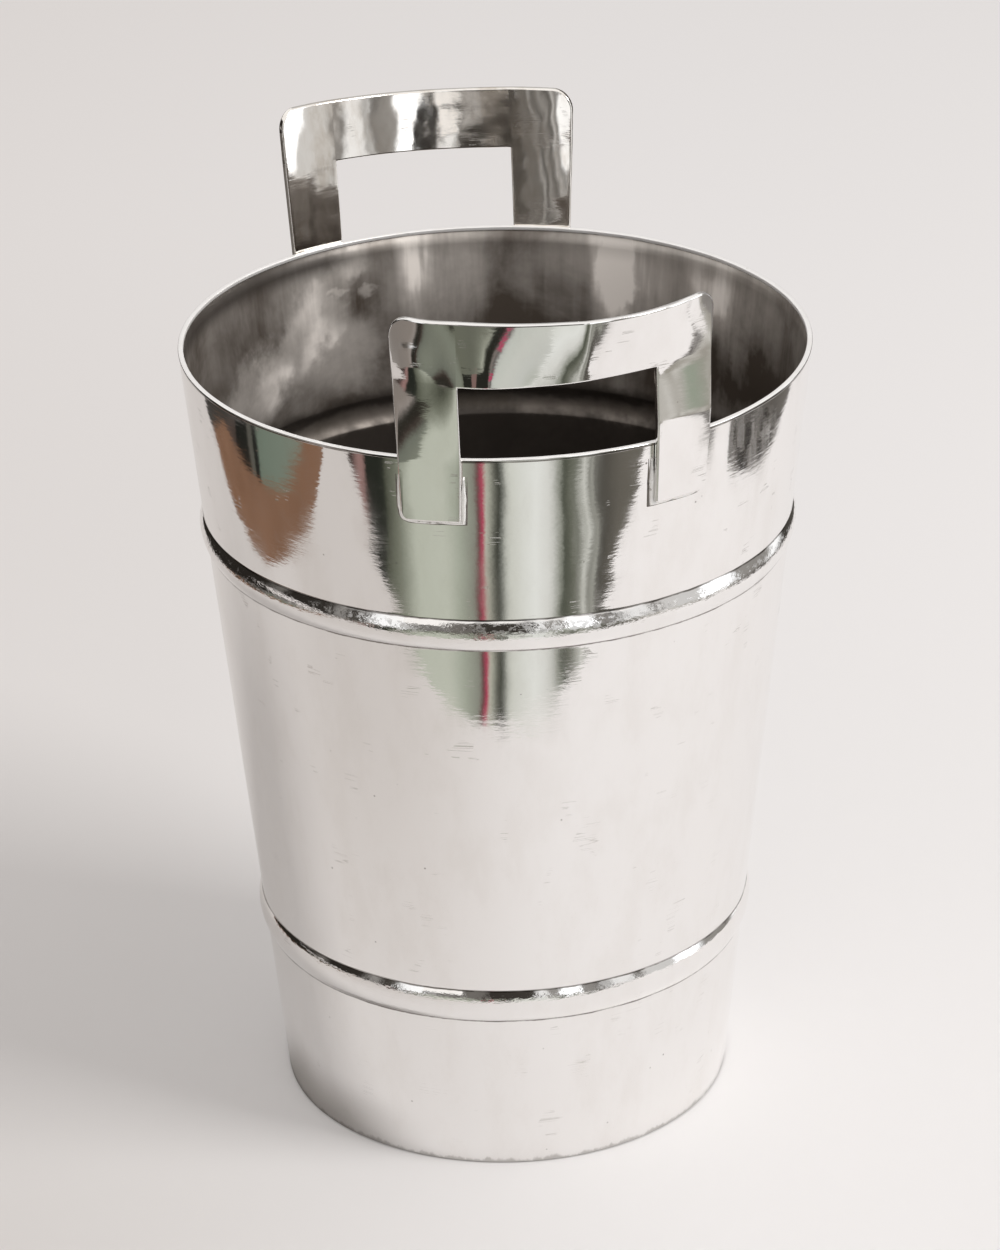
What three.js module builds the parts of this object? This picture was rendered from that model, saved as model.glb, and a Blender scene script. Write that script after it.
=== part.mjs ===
// Tapered champagne bucket in silver-plated sheet metal. The body is one sheet with two swaged ribs
// and a plain lip, closed by a floor pan, edged by a rounded bead, and carried by two bent
// sheet handles soldered to the outside of the wall. Millimetres, +Z up. The origin is the middle of
// the base, and the front handle faces -Y.
import * as THREE from 'three';

// Driving dimensions: body
const BODY_HEIGHT = 264.4; // table to the top of the rim
const BASE_RADIUS = 75.2;
const MOUTH_RADIUS = 101.75; // where the straight taper would reach the rim's height
const WALL_THICKNESS = 1.3;
const GAP = 0.3; // clearance between pieces that touch or are soldered

// Lip and rim bead
const LIP_HEIGHT = 4.4; // top stretch of the wall, which leaves the taper under the bead
const LIP_CURL_SHARE = 2; // power of the height share: most of the turn lies near the rim
const RIM_FLARE = 0.1; // how far the bead's outside stands past the line of the taper
const RIM_BEAD_WIDTH = 1.85;
const RIM_BEAD_HEIGHT = 1.3;
const RIM_BEAD_PROUD = 0.4; // how far the bead stands out past the lip

// Swaged ribs
const UPPER_RIB_WIDTH = 10.8;
const UPPER_RIB_DROP = 35.6; // from the feet of the handles down to the rib's upper edge
const LOWER_RIB_WIDTH = 11.8;
const LOWER_RIB_HEIGHT = 63.3; // middle of the rib above the table
const RIB_PROUD = 1.6; // how far both ribs stand out past the taper
const GROOVE_SHARE = 0.5; // share of the wall by which the groove inside is narrower at each edge

// Floor pan and the seam that holds it
const FLOOR_THICKNESS = 1.5;
const FLOOR_TOP = 4.6; // inside face of the floor above the table
const FLANGE_LIFT = 0.5; // flange's edge above the table
const FLOOR_SEAM_SIZE = 2.2;

// Handles: a flat pattern, bent round the body and outwards above the rim
const HANDLE_THICKNESS = 2.2;
const HANDLE_RISE = 45.8; // from the rim up to the top edge of the band
const HANDLE_DROP = 20.5; // from the rim down to the lower edge of both feet
const BAND_WIDTH = 19.9; // height of the band over the finger gap
const FINGER_GAP = 60.4; // between the legs
const LEG_FOOT_WIDTH = 18.1;
const LEG_TOP_WIDTH = 21.85; // width that the leg's outer edge reaches at the top of the band
const HANDLE_LEAN = THREE.MathUtils.degToRad(6);
const TOP_CORNER_RADIUS = 7;
const FOOT_CORNER_RADIUS = 2.6;

// How each handle was bent and soldered by hand: its turn round the body, how far the middle of the
// band is bowed outwards, how far the band is pushed sideways, its tilt, and how much it is lifted
const HANDLES = [
  { name: 'front', turn: 0, bow: 3.4, push: -1.5, tilt: THREE.MathUtils.degToRad(0.48), lift: 0.5 },
  {
    name: 'back',
    turn: THREE.MathUtils.degToRad(182.1),
    bow: 2.6,
    push: 0.1,
    tilt: THREE.MathUtils.degToRad(1.19),
    lift: 0.55,
  },
];

// Solder fillets round the feet
const FOOT_SEAM_WIDTH = 1.2;
const FOOT_SEAM_HEIGHT = 1.5;
const FOOT_SEAM_DROP = 5.8; // from the rim down to where the fillet ends

// Counts
const ROUND_STEPS = 72; // facets round the body
const RIB_STEPS = 6;
const LIP_STEPS = 6;
const BEAD_STEPS = 8;
const CORNER_STEPS = 5;
const LEG_STEPS = 3; // columns of a leg beside its rounded corner
const BAND_STEPS = 10; // columns of the band over the finger gap
const SEAT_ROWS = 3; // rows from the foot to the rim
const LEAN_ROWS = 3; // rows from the rim to the under-edge
const BAND_ROWS = 4; // rows from the under-edge to the top

const RIM_RADIUS = MOUTH_RADIUS + RIM_FLARE;
const LIP_START = BODY_HEIGHT - LIP_HEIGHT;
const WALL_TOP = BODY_HEIGHT - RIM_BEAD_HEIGHT - GAP;
const LIP_TOP_RADIUS = RIM_RADIUS - RIM_BEAD_PROUD;
const BEAD_MIDDLE = BODY_HEIGHT - RIM_BEAD_HEIGHT / 2;
const HANDLE_TOP = BODY_HEIGHT + HANDLE_RISE;
const HANDLE_UNDER = HANDLE_TOP - BAND_WIDTH;
const HANDLE_FOOT = BODY_HEIGHT - HANDLE_DROP;
const FOOT_SEAM_TOP = BODY_HEIGHT - FOOT_SEAM_DROP;
const UPPER_RIB_HEIGHT = HANDLE_FOOT - UPPER_RIB_DROP - UPPER_RIB_WIDTH / 2;

const silver = { color: 0xd8d5d0, roughness: 0.08, metalness: 1 };
const tarnishedSilver = { color: 0x8b857c, roughness: 0.42, metalness: 1 };
const solder = { color: 0xb9b6af, roughness: 0.3, metalness: 1 };

function named(name, geometry, finish) {
  const mesh = new THREE.Mesh(geometry, new THREE.MeshStandardMaterial(finish));
  mesh.name = name;
  return mesh;
}

// A body of revolution about Z from a closed section of [radius, height] points.
function turned(section) {
  const closed = [...section, section[0]].map(([radius, height]) => new THREE.Vector2(radius, height));
  return new THREE.LatheGeometry(closed, ROUND_STEPS).rotateX(Math.PI / 2);
}

function taperRadius(height) {
  return THREE.MathUtils.mapLinear(height, 0, BODY_HEIGHT, BASE_RADIUS, MOUTH_RADIUS);
}

// Outer radius of the plain wall, without its ribs.
function wallRadius(height) {
  if (height <= LIP_START) return taperRadius(height);
  const share = (height - LIP_START) / (WALL_TOP - LIP_START);
  const start = taperRadius(LIP_START);
  return start + (LIP_TOP_RADIUS - start) * share ** LIP_CURL_SHARE;
}

// Points of a rib, an arc over the taper, on the face that lies inset inside the outer one.
function ribPoints(middle, width, inset) {
  const half = width / 2 - inset * GROOVE_SHARE;
  const arcRadius = (half ** 2 + RIB_PROUD ** 2) / (2 * RIB_PROUD);
  const spread = Math.asin(half / arcRadius);
  const points = [];
  for (let step = 0; step <= RIB_STEPS; step += 1) {
    const angle = THREE.MathUtils.lerp(-spread, spread, step / RIB_STEPS);
    const height = middle + arcRadius * Math.sin(angle);
    const rise = arcRadius * (Math.cos(angle) - Math.cos(spread));
    points.push([taperRadius(height) - inset + rise, height]);
  }
  return points;
}

// One face of the wall from the table up, inset inside the outer face.
function wallFace(inset) {
  const face = [
    [BASE_RADIUS - inset, 0],
    ...ribPoints(LOWER_RIB_HEIGHT, LOWER_RIB_WIDTH, inset),
    ...ribPoints(UPPER_RIB_HEIGHT, UPPER_RIB_WIDTH, inset),
  ];
  for (let step = 0; step <= LIP_STEPS; step += 1) {
    const height = THREE.MathUtils.lerp(LIP_START, WALL_TOP, step / LIP_STEPS);
    face.push([wallRadius(height) - inset, height]);
  }
  return face;
}

function makeBodyWall() {
  const section = [...wallFace(0), ...wallFace(WALL_THICKNESS).reverse()];
  return named('body_wall', turned(section), silver);
}

// The bright edge of the rim: a rounded bead that caps the wall.
function makeRimBead() {
  const middle = RIM_RADIUS - RIM_BEAD_WIDTH / 2;
  const section = [];
  for (let step = 0; step < BEAD_STEPS; step += 1) {
    const angle = (step / BEAD_STEPS) * 2 * Math.PI;
    section.push([
      middle + (RIM_BEAD_WIDTH / 2) * Math.cos(angle),
      BEAD_MIDDLE + (RIM_BEAD_HEIGHT / 2) * Math.sin(angle),
    ]);
  }
  return named('rim_bead', turned(section), silver);
}

function insideRadius(height) {
  return taperRadius(height) - WALL_THICKNESS - GAP;
}

// The floor, with a flange turned down inside the foot of the wall.
function makeFloorPan() {
  const underside = FLOOR_TOP - FLOOR_THICKNESS;
  const section = [
    [0, underside],
    [insideRadius(underside) - FLOOR_THICKNESS, underside],
    [insideRadius(FLANGE_LIFT) - FLOOR_THICKNESS, FLANGE_LIFT],
    [insideRadius(FLANGE_LIFT), FLANGE_LIFT],
    [insideRadius(FLOOR_TOP), FLOOR_TOP],
    [0, FLOOR_TOP],
  ];
  const points = section.map(([radius, height]) => new THREE.Vector2(radius, height));
  const geometry = new THREE.LatheGeometry(points, ROUND_STEPS).rotateX(Math.PI / 2);
  return named('floor_pan', geometry, tarnishedSilver);
}

// The fillet of solder in the corner between the floor and the wall.
function makeFloorSeam() {
  const base = FLOOR_TOP + GAP;
  const section = [
    [insideRadius(base) - FLOOR_SEAM_SIZE, base],
    [insideRadius(base), base],
    [insideRadius(base + FLOOR_SEAM_SIZE), base + FLOOR_SEAM_SIZE],
  ];
  return named('floor_seam', turned(section), solder);
}

// Radius of a handle's inner face: along the wall to the rim, then leaning outwards.
function sheetRadius(height) {
  const seat = RIM_RADIUS + GAP;
  if (height > BEAD_MIDDLE) return seat + (height - BEAD_MIDDLE) * Math.tan(HANDLE_LEAN);
  const foot = taperRadius(HANDLE_FOOT) + GAP;
  return THREE.MathUtils.mapLinear(height, HANDLE_FOOT, BEAD_MIDDLE, foot, seat);
}

// Length from the middle of a handle to its outer edge, round the inner face.
function outerEdge(height) {
  const leg = THREE.MathUtils.mapLinear(
    height, HANDLE_FOOT, HANDLE_TOP, LEG_FOOT_WIDTH, LEG_TOP_WIDTH,
  );
  return FINGER_GAP / 2 + leg;
}

// Where a place on a handle's flat pattern lies once it is bent and soldered on. Straight edges of
// the leaning sheet climb towards their ends, as those of a flat sheet do when it is rolled to a cone.
function bentPlace(handle, across, height) {
  const rise = Math.max(0, (height - BEAD_MIDDLE) / (HANDLE_TOP - BEAD_MIDDLE));
  const climb = (across ** 2 * Math.sin(HANDLE_LEAN)) / (2 * sheetRadius(height));
  const level = height + across * Math.tan(handle.tilt) + rise * (handle.lift + climb);
  const angle = (across + handle.push * rise) / sheetRadius(level);
  const bulge = handle.bow * rise * (1 - (across / outerEdge(height)) ** 2);
  return { level, angle, bulge };
}

// A point at a radius and an angle from the -Y direction.
function polarPoint(radius, angle, height) {
  return new THREE.Vector3(radius * Math.sin(angle), -radius * Math.cos(angle), height);
}

// How much a corner of this radius takes off an edge, at a distance from the corner's side.
function cornerLoss(radius, distance) {
  if (distance >= radius) return 0;
  return radius - Math.sqrt(radius ** 2 - (radius - distance) ** 2);
}

// Distances of a leg's columns from its outer edge: first round the corner, then evenly to the gap.
function legColumns(legWidth) {
  const corner = [];
  for (let step = 0; step <= CORNER_STEPS; step += 1) {
    corner.push(TOP_CORNER_RADIUS * (1 - Math.cos(((step / CORNER_STEPS) * Math.PI) / 2)));
  }
  for (let step = 1; step <= LEG_STEPS; step += 1) {
    corner.push(THREE.MathUtils.lerp(TOP_CORNER_RADIUS, legWidth, step / LEG_STEPS));
  }
  return corner;
}

// Heights of the rows of one column, from the foot's edge to the top edge.
function columnHeights(distance) {
  const stops = [
    [HANDLE_FOOT + cornerLoss(FOOT_CORNER_RADIUS, distance), BEAD_MIDDLE, SEAT_ROWS],
    [BEAD_MIDDLE, HANDLE_UNDER, LEAN_ROWS],
    [HANDLE_UNDER, HANDLE_TOP - cornerLoss(TOP_CORNER_RADIUS, distance), BAND_ROWS],
  ];
  const heights = [stops[0][0]];
  for (const [from, to, rows] of stops) {
    for (let row = 1; row <= rows; row += 1) {
      heights.push(THREE.MathUtils.lerp(from, to, row / rows));
    }
  }
  return heights;
}

// Corner points of a handle's sheet: lattice[column][row] holds its inner and its outer point.
function handleLattice(handle) {
  const point = (across, height, depth) => {
    const { level, angle, bulge } = bentPlace(handle, across, height);
    return polarPoint(sheetRadius(level) + bulge + depth, angle, level);
  };
  const column = (distance, acrossAt) => columnHeights(distance).map((height) => {
    const across = acrossAt(height);
    return [point(across, height, 0), point(across, height, HANDLE_THICKNESS)];
  });
  const distances = legColumns(LEG_FOOT_WIDTH);
  const leg = (side) => distances.map((distance) => {
    const share = Math.max(0, distance - TOP_CORNER_RADIUS) / (LEG_FOOT_WIDTH - TOP_CORNER_RADIUS);
    const fixed = Math.min(distance, TOP_CORNER_RADIUS);
    const acrossAt = (height) => {
      const rest = outerEdge(height) - fixed;
      return side * THREE.MathUtils.lerp(rest, FINGER_GAP / 2, share);
    };
    return column(distance, acrossAt);
  });
  const band = [];
  for (let step = 1; step < BAND_STEPS; step += 1) {
    const across = THREE.MathUtils.lerp(-FINGER_GAP / 2, FINGER_GAP / 2, step / BAND_STEPS);
    band.push(column(TOP_CORNER_RADIUS, () => across));
  }
  return [...leg(-1), ...band, ...leg(1).reverse()];
}

// Adds the two triangles of a quad whose corners run anticlockwise seen from outside.
function addQuad(positions, a, b, c, d) {
  for (const corner of [a, b, c, a, c, d]) positions.push(corner.x, corner.y, corner.z);
}

function geometryFrom(positions) {
  const geometry = new THREE.BufferGeometry();
  geometry.setAttribute('position', new THREE.Float32BufferAttribute(positions, 3));
  geometry.computeVertexNormals();
  return geometry;
}

// The closed sheet of a handle: both faces, and the edge wherever the next cell is open.
function makeHandle(handle) {
  const lattice = handleLattice(handle);
  const legRows = SEAT_ROWS + LEAN_ROWS;
  const rows = legRows + BAND_ROWS;
  const columns = lattice.length - 1;
  const legCells = CORNER_STEPS + LEG_STEPS;
  const isSolid = (column, row) => {
    if (column < 0 || column >= columns || row < 0 || row >= rows) return false;
    return row >= legRows || column < legCells || column >= columns - legCells;
  };
  const positions = [];
  for (let column = 0; column < columns; column += 1) {
    for (let row = 0; row < rows; row += 1) {
      if (!isSolid(column, row)) continue;
      const [innerA, outerA] = lattice[column][row];
      const [innerB, outerB] = lattice[column + 1][row];
      const [innerC, outerC] = lattice[column + 1][row + 1];
      const [innerD, outerD] = lattice[column][row + 1];
      addQuad(positions, outerA, outerB, outerC, outerD);
      addQuad(positions, innerA, innerD, innerC, innerB);
      if (!isSolid(column, row - 1)) addQuad(positions, innerA, innerB, outerB, outerA);
      if (!isSolid(column + 1, row)) addQuad(positions, innerB, innerC, outerC, outerB);
      if (!isSolid(column, row + 1)) addQuad(positions, innerC, innerD, outerD, outerC);
      if (!isSolid(column - 1, row)) addQuad(positions, innerD, innerA, outerA, outerD);
    }
  }
  return named(`handle_${handle.name}`, geometryFrom(positions), silver);
}

// Route of a fillet round the foot on one side: places on the foot's outline and the way out of it.
function footRoute() {
  const route = [];
  const add = (across, height, outX, outZ) => route.push({ across, height, outX, outZ });
  const cornerHeight = HANDLE_FOOT + FOOT_CORNER_RADIUS;
  for (let step = 0; step < SEAT_ROWS; step += 1) {
    const height = THREE.MathUtils.lerp(FOOT_SEAM_TOP, cornerHeight, step / SEAT_ROWS);
    add(outerEdge(height), height, 1, 0);
  }
  const centre = outerEdge(HANDLE_FOOT) - FOOT_CORNER_RADIUS;
  for (let step = 0; step <= CORNER_STEPS; step += 1) {
    const angle = ((step / CORNER_STEPS) * Math.PI) / 2;
    const outX = Math.cos(angle);
    const outZ = -Math.sin(angle);
    add(centre + FOOT_CORNER_RADIUS * outX, cornerHeight + FOOT_CORNER_RADIUS * outZ, outX, outZ);
  }
  for (let step = 1; step < LEG_STEPS; step += 1) {
    const across = THREE.MathUtils.lerp(centre, FINGER_GAP / 2, step / LEG_STEPS);
    add(across, HANDLE_FOOT, 0, -1);
  }
  for (let step = 0; step <= 2; step += 1) {
    const angle = ((step / 2) * Math.PI) / 2;
    add(FINGER_GAP / 2, HANDLE_FOOT, -Math.sin(angle), -Math.cos(angle));
  }
  for (let step = 1; step <= SEAT_ROWS; step += 1) {
    const height = THREE.MathUtils.lerp(HANDLE_FOOT, FOOT_SEAM_TOP, step / SEAT_ROWS);
    add(FINGER_GAP / 2, height, -1, 0);
  }
  return route;
}

// Three corners of the fillet at one place: on the wall, up the sheet's edge, and out on the wall.
function filletCorners(handle, place, side) {
  const corner = (offset, depth) => {
    const across = side * (place.across + place.outX * offset);
    const { level, angle } = bentPlace(handle, across, place.height + place.outZ * offset);
    return polarPoint(wallRadius(level) + GAP + depth, angle, level);
  };
  return [corner(GAP, 0), corner(GAP, FOOT_SEAM_HEIGHT), corner(GAP + FOOT_SEAM_WIDTH, 0)];
}

function makeFootSeam(handle, side) {
  const rings = footRoute().map((place) => filletCorners(handle, place, side));
  const positions = [];
  const addTriangle = (a, b, c) => {
    const corners = side < 0 ? [a, b, c] : [a, c, b];
    for (const corner of corners) positions.push(corner.x, corner.y, corner.z);
  };
  for (let ring = 0; ring + 1 < rings.length; ring += 1) {
    for (let corner = 0; corner < 3; corner += 1) {
      const next = (corner + 1) % 3;
      addTriangle(rings[ring][corner], rings[ring][next], rings[ring + 1][next]);
      addTriangle(rings[ring][corner], rings[ring + 1][next], rings[ring + 1][corner]);
    }
  }
  addTriangle(...rings[0].toReversed());
  addTriangle(...rings.at(-1));
  const name = `seam_${handle.name}_${side > 0 ? 'right' : 'left'}`;
  return named(name, geometryFrom(positions), solder);
}

// A handle with its two soldered feet, turned to its place round the body.
function makeHandleGroup(handle) {
  const group = new THREE.Group();
  group.add(makeHandle(handle), makeFootSeam(handle, -1), makeFootSeam(handle, 1));
  group.rotation.z = handle.turn;
  return group;
}

const group = new THREE.Group();
group.add(makeBodyWall(), makeRimBead(), makeFloorPan(), makeFloorSeam());
for (const handle of HANDLES) group.add(makeHandleGroup(handle));

export default group;
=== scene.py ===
"""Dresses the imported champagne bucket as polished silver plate, in metres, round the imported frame."""
import logging
import math
from collections.abc import Sequence
from dataclasses import dataclass, field, replace
from enum import Enum

import bmesh
import bpy
from mathutils import Matrix, Vector


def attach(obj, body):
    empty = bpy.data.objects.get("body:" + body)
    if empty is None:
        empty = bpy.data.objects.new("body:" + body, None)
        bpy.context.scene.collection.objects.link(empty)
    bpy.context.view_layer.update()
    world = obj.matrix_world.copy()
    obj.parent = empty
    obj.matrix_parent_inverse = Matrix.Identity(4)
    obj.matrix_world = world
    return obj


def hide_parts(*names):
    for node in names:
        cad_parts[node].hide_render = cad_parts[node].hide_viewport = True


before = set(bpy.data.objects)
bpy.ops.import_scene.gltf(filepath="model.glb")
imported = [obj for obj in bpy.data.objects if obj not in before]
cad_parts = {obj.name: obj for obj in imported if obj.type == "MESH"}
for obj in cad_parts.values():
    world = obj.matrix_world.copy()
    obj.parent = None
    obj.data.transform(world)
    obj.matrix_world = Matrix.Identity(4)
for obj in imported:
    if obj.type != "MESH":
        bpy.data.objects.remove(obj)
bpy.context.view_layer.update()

LOG = logging.getLogger("champagne_bucket")
MM = 0.001
FULL_TURN = 2 * math.pi
VIEW_AZIMUTH = math.radians(-10.92)
MERGE = 0.002 * MM
TOUCH = 0.01 * MM

Triple = tuple[float, float, float]
Colour = Triple
Stop = tuple[float, Colour]
Value = float | Sequence[float] | bpy.types.NodeSocket


class Side(Enum):
    """A side of a handle, seen from outside the bucket."""

    LEFT = -1
    RIGHT = 1


class Slot(Enum):
    """The record's material slots."""

    SILVER = "silver_plate"
    INSIDE = "silver_inside"
    SOLDER = "solder"


def smooth_step(low: float, high: float, value: float) -> float:
    """Finds how far a value has risen, smoothly, from low to high.

    Args:
        low: Where the rise starts.
        high: Where it ends.
        value: The value.

    Returns:
        0 below low, 1 above high and a smooth rise between them.
    """
    share = min(1.0, max(0.0, (value - low) / (high - low)))
    return share * share * (3 - 2 * share)


def soft_floor(value: float, softness: float) -> float:
    """Returns value where it is well above zero and nearly zero below, with a rounded bend."""
    return 0.5 * (value + math.hypot(value, softness))


def lerp(start: float, end: float, share: float) -> float:
    """Returns the value at a share of the way from start to end."""
    return start + (end - start) * share


class NodeGraph:
    """Builds one node tree, one socket at a time."""

    def __init__(self, tree: bpy.types.NodeTree) -> None:
        """Starts from an empty tree.

        Args:
            tree: The node tree of a material or a world.
        """
        self.tree = tree
        self.tree.nodes.clear()

    def add(self, kind: str, **settings: object) -> bpy.types.Node:
        """Adds a node.

        Args:
            kind: Name of the node type after the "ShaderNode" prefix.
            settings: Properties of the node.

        Returns:
            The new node.
        """
        node = self.tree.nodes.new("ShaderNode" + kind)
        for key, value in settings.items():
            setattr(node, key, value)
        return node

    def feed(self, socket: bpy.types.NodeSocket, value: Value) -> None:
        """Links a socket to another one, or sets it to a constant.

        Args:
            socket: Input to fill.
            value: Socket to link from, or a constant.
        """
        if isinstance(value, bpy.types.NodeSocket):
            self.tree.links.new(value, socket)
        elif socket.type == "RGBA" and len(value) == 3:
            socket.default_value = (*value, 1.0)
        else:
            socket.default_value = value

    def math(self, operation: str, *values: Value, clamp: bool = False) -> bpy.types.NodeSocket:
        """Adds a math node.

        Args:
            operation: Blender's name of the operation.
            values: Its inputs.
            clamp: Whether the result is held between 0 and 1.

        Returns:
            The result's socket.
        """
        node = self.add("Math", operation=operation, use_clamp=clamp)
        for socket, value in zip(node.inputs, values):
            self.feed(socket, value)
        return node.outputs[0]

    def remap(self, value: Value, low: float, high: float, start: float, end: float) -> bpy.types.NodeSocket:
        """Maps a stretch of values smoothly onto another one.

        Args:
            value: The value to map.
            low: Where the stretch starts.
            high: Where the stretch ends.
            start: Result at low and beyond it.
            end: Result at high and beyond it.

        Returns:
            The result's socket.
        """
        node = self.add("MapRange", interpolation_type="SMOOTHSTEP")
        for socket, part in zip(node.inputs, (value, low, high, start, end)):
            self.feed(socket, part)
        return node.outputs[0]

    def mapping(self, vector: Value, scale: Sequence[float] = (1, 1, 1),
                turn: Sequence[float] = (0, 0, 0)) -> bpy.types.NodeSocket:
        """Scales and turns a vector.

        Args:
            vector: The vector.
            scale: Factors along the axes.
            turn: Angles round the axes.

        Returns:
            The result's socket.
        """
        node = self.add("Mapping")
        self.feed(node.inputs["Vector"], vector)
        node.inputs["Scale"].default_value = scale
        node.inputs["Rotation"].default_value = turn
        return node.outputs[0]

    def noise(self, vector: Value, scale: float, detail: float = 2.0, roughness: float = 0.5,
              distortion: float = 0.0) -> bpy.types.NodeSocket:
        """Adds a noise texture.

        Args:
            vector: Where it is read.
            scale: Bumps to the metre.
            detail: Number of finer layers.
            roughness: Strength of the finer layers.
            distortion: How much the pattern swirls.

        Returns:
            The socket of its value.
        """
        node = self.add("TexNoise")
        names = ("Vector", "Scale", "Detail", "Roughness", "Distortion")
        for key, value in zip(names, (vector, scale, detail, roughness, distortion)):
            self.feed(node.inputs[key], value)
        return node.outputs["Fac"]

    def cells(self, vector: Value, scale: float) -> bpy.types.NodeSocket:
        """Adds a cell texture and reads the distance to the nearest cell's middle.

        Args:
            vector: Where it is read.
            scale: Cells to the metre.

        Returns:
            The socket of the distance, in cells.
        """
        node = self.add("TexVoronoi", feature="F1")
        self.feed(node.inputs["Vector"], vector)
        self.feed(node.inputs["Scale"], scale)
        return node.outputs["Distance"]

    def ramp(self, value: Value, stops: Sequence[Stop]) -> bpy.types.NodeSocket:
        """Adds a colour ramp.

        Args:
            value: Position on the ramp.
            stops: Positions and their colours, in order.

        Returns:
            The colour's socket.
        """
        node = self.add("ValToRGB")
        elements = node.color_ramp.elements
        while len(elements) < len(stops):
            elements.new(0.5)
        for element, (position, colour) in zip(elements, stops):
            element.position = position
            element.color = (*colour, 1.0)
        self.feed(node.inputs[0], value)
        return node.outputs[0]

    def mix(self, share: Value, first: Value, second: Value) -> bpy.types.NodeSocket:
        """Mixes two colours.

        Args:
            share: Share of the second one.
            first: Colour at a share of 0.
            second: Colour at a share of 1.

        Returns:
            The colour's socket.
        """
        node = self.add("Mix", data_type="RGBA")
        self.feed(node.inputs[0], share)
        self.feed(node.inputs[6], first)
        self.feed(node.inputs[7], second)
        return node.outputs[2]

    def bump(self, height: Value, depth: float,
             normal: bpy.types.NodeSocket | None = None) -> bpy.types.NodeSocket:
        """Adds a bump.

        Args:
            height: Height pattern from 0 to 1.
            depth: What a height of 1 stands for, in metres.
            normal: Normal that the bump is laid on.

        Returns:
            The new normal's socket.
        """
        node = self.add("Bump")
        self.feed(node.inputs["Height"], height)
        node.inputs["Distance"].default_value = depth
        node.inputs["Strength"].default_value = 1.0
        if normal is not None:
            self.feed(node.inputs["Normal"], normal)
        return node.outputs[0]

    def blend_shaders(self, share: Value, first: Value, second: Value) -> bpy.types.NodeSocket:
        """Mixes two shaders.

        Args:
            share: Share of the second one.
            first: Shader at a share of 0.
            second: Shader at a share of 1.

        Returns:
            The result's socket.
        """
        node = self.add("MixShader")
        for socket, value in zip(node.inputs, (share, first, second)):
            self.feed(socket, value)
        return node.outputs[0]

    def split(self, vector: Value) -> Sequence[bpy.types.NodeSocket]:
        """Splits a vector.

        Args:
            vector: The vector.

        Returns:
            The sockets of its shares along the three axes.
        """
        node = self.add("SeparateXYZ")
        self.feed(node.inputs[0], vector)
        return node.outputs

    def finish_metal(self, tint: Value, roughness: Value, normal: Value, metallic: Value) -> None:
        """Ends a material's graph with a metal surface.

        Args:
            tint: Its colour.
            roughness: Its roughness.
            normal: Its normal.
            metallic: Share of bare metal, the rest being a dull film on it.
        """
        shader = self.add("BsdfPrincipled")
        self.feed(shader.inputs["Metallic"], metallic)
        self.feed(shader.inputs["Base Color"], tint)
        self.feed(shader.inputs["Roughness"], roughness)
        self.feed(shader.inputs["Normal"], normal)
        output = self.add("OutputMaterial")
        self.feed(output.inputs["Surface"], shader.outputs[0])


def new_material(name: str) -> tuple[bpy.types.Material, NodeGraph]:
    """Makes a material with an empty node tree.

    Args:
        name: The material's name.

    Returns:
        The material and its graph.
    """
    material = bpy.data.materials.new(name)
    material.use_nodes = True
    return material, NodeGraph(material.node_tree)


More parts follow.
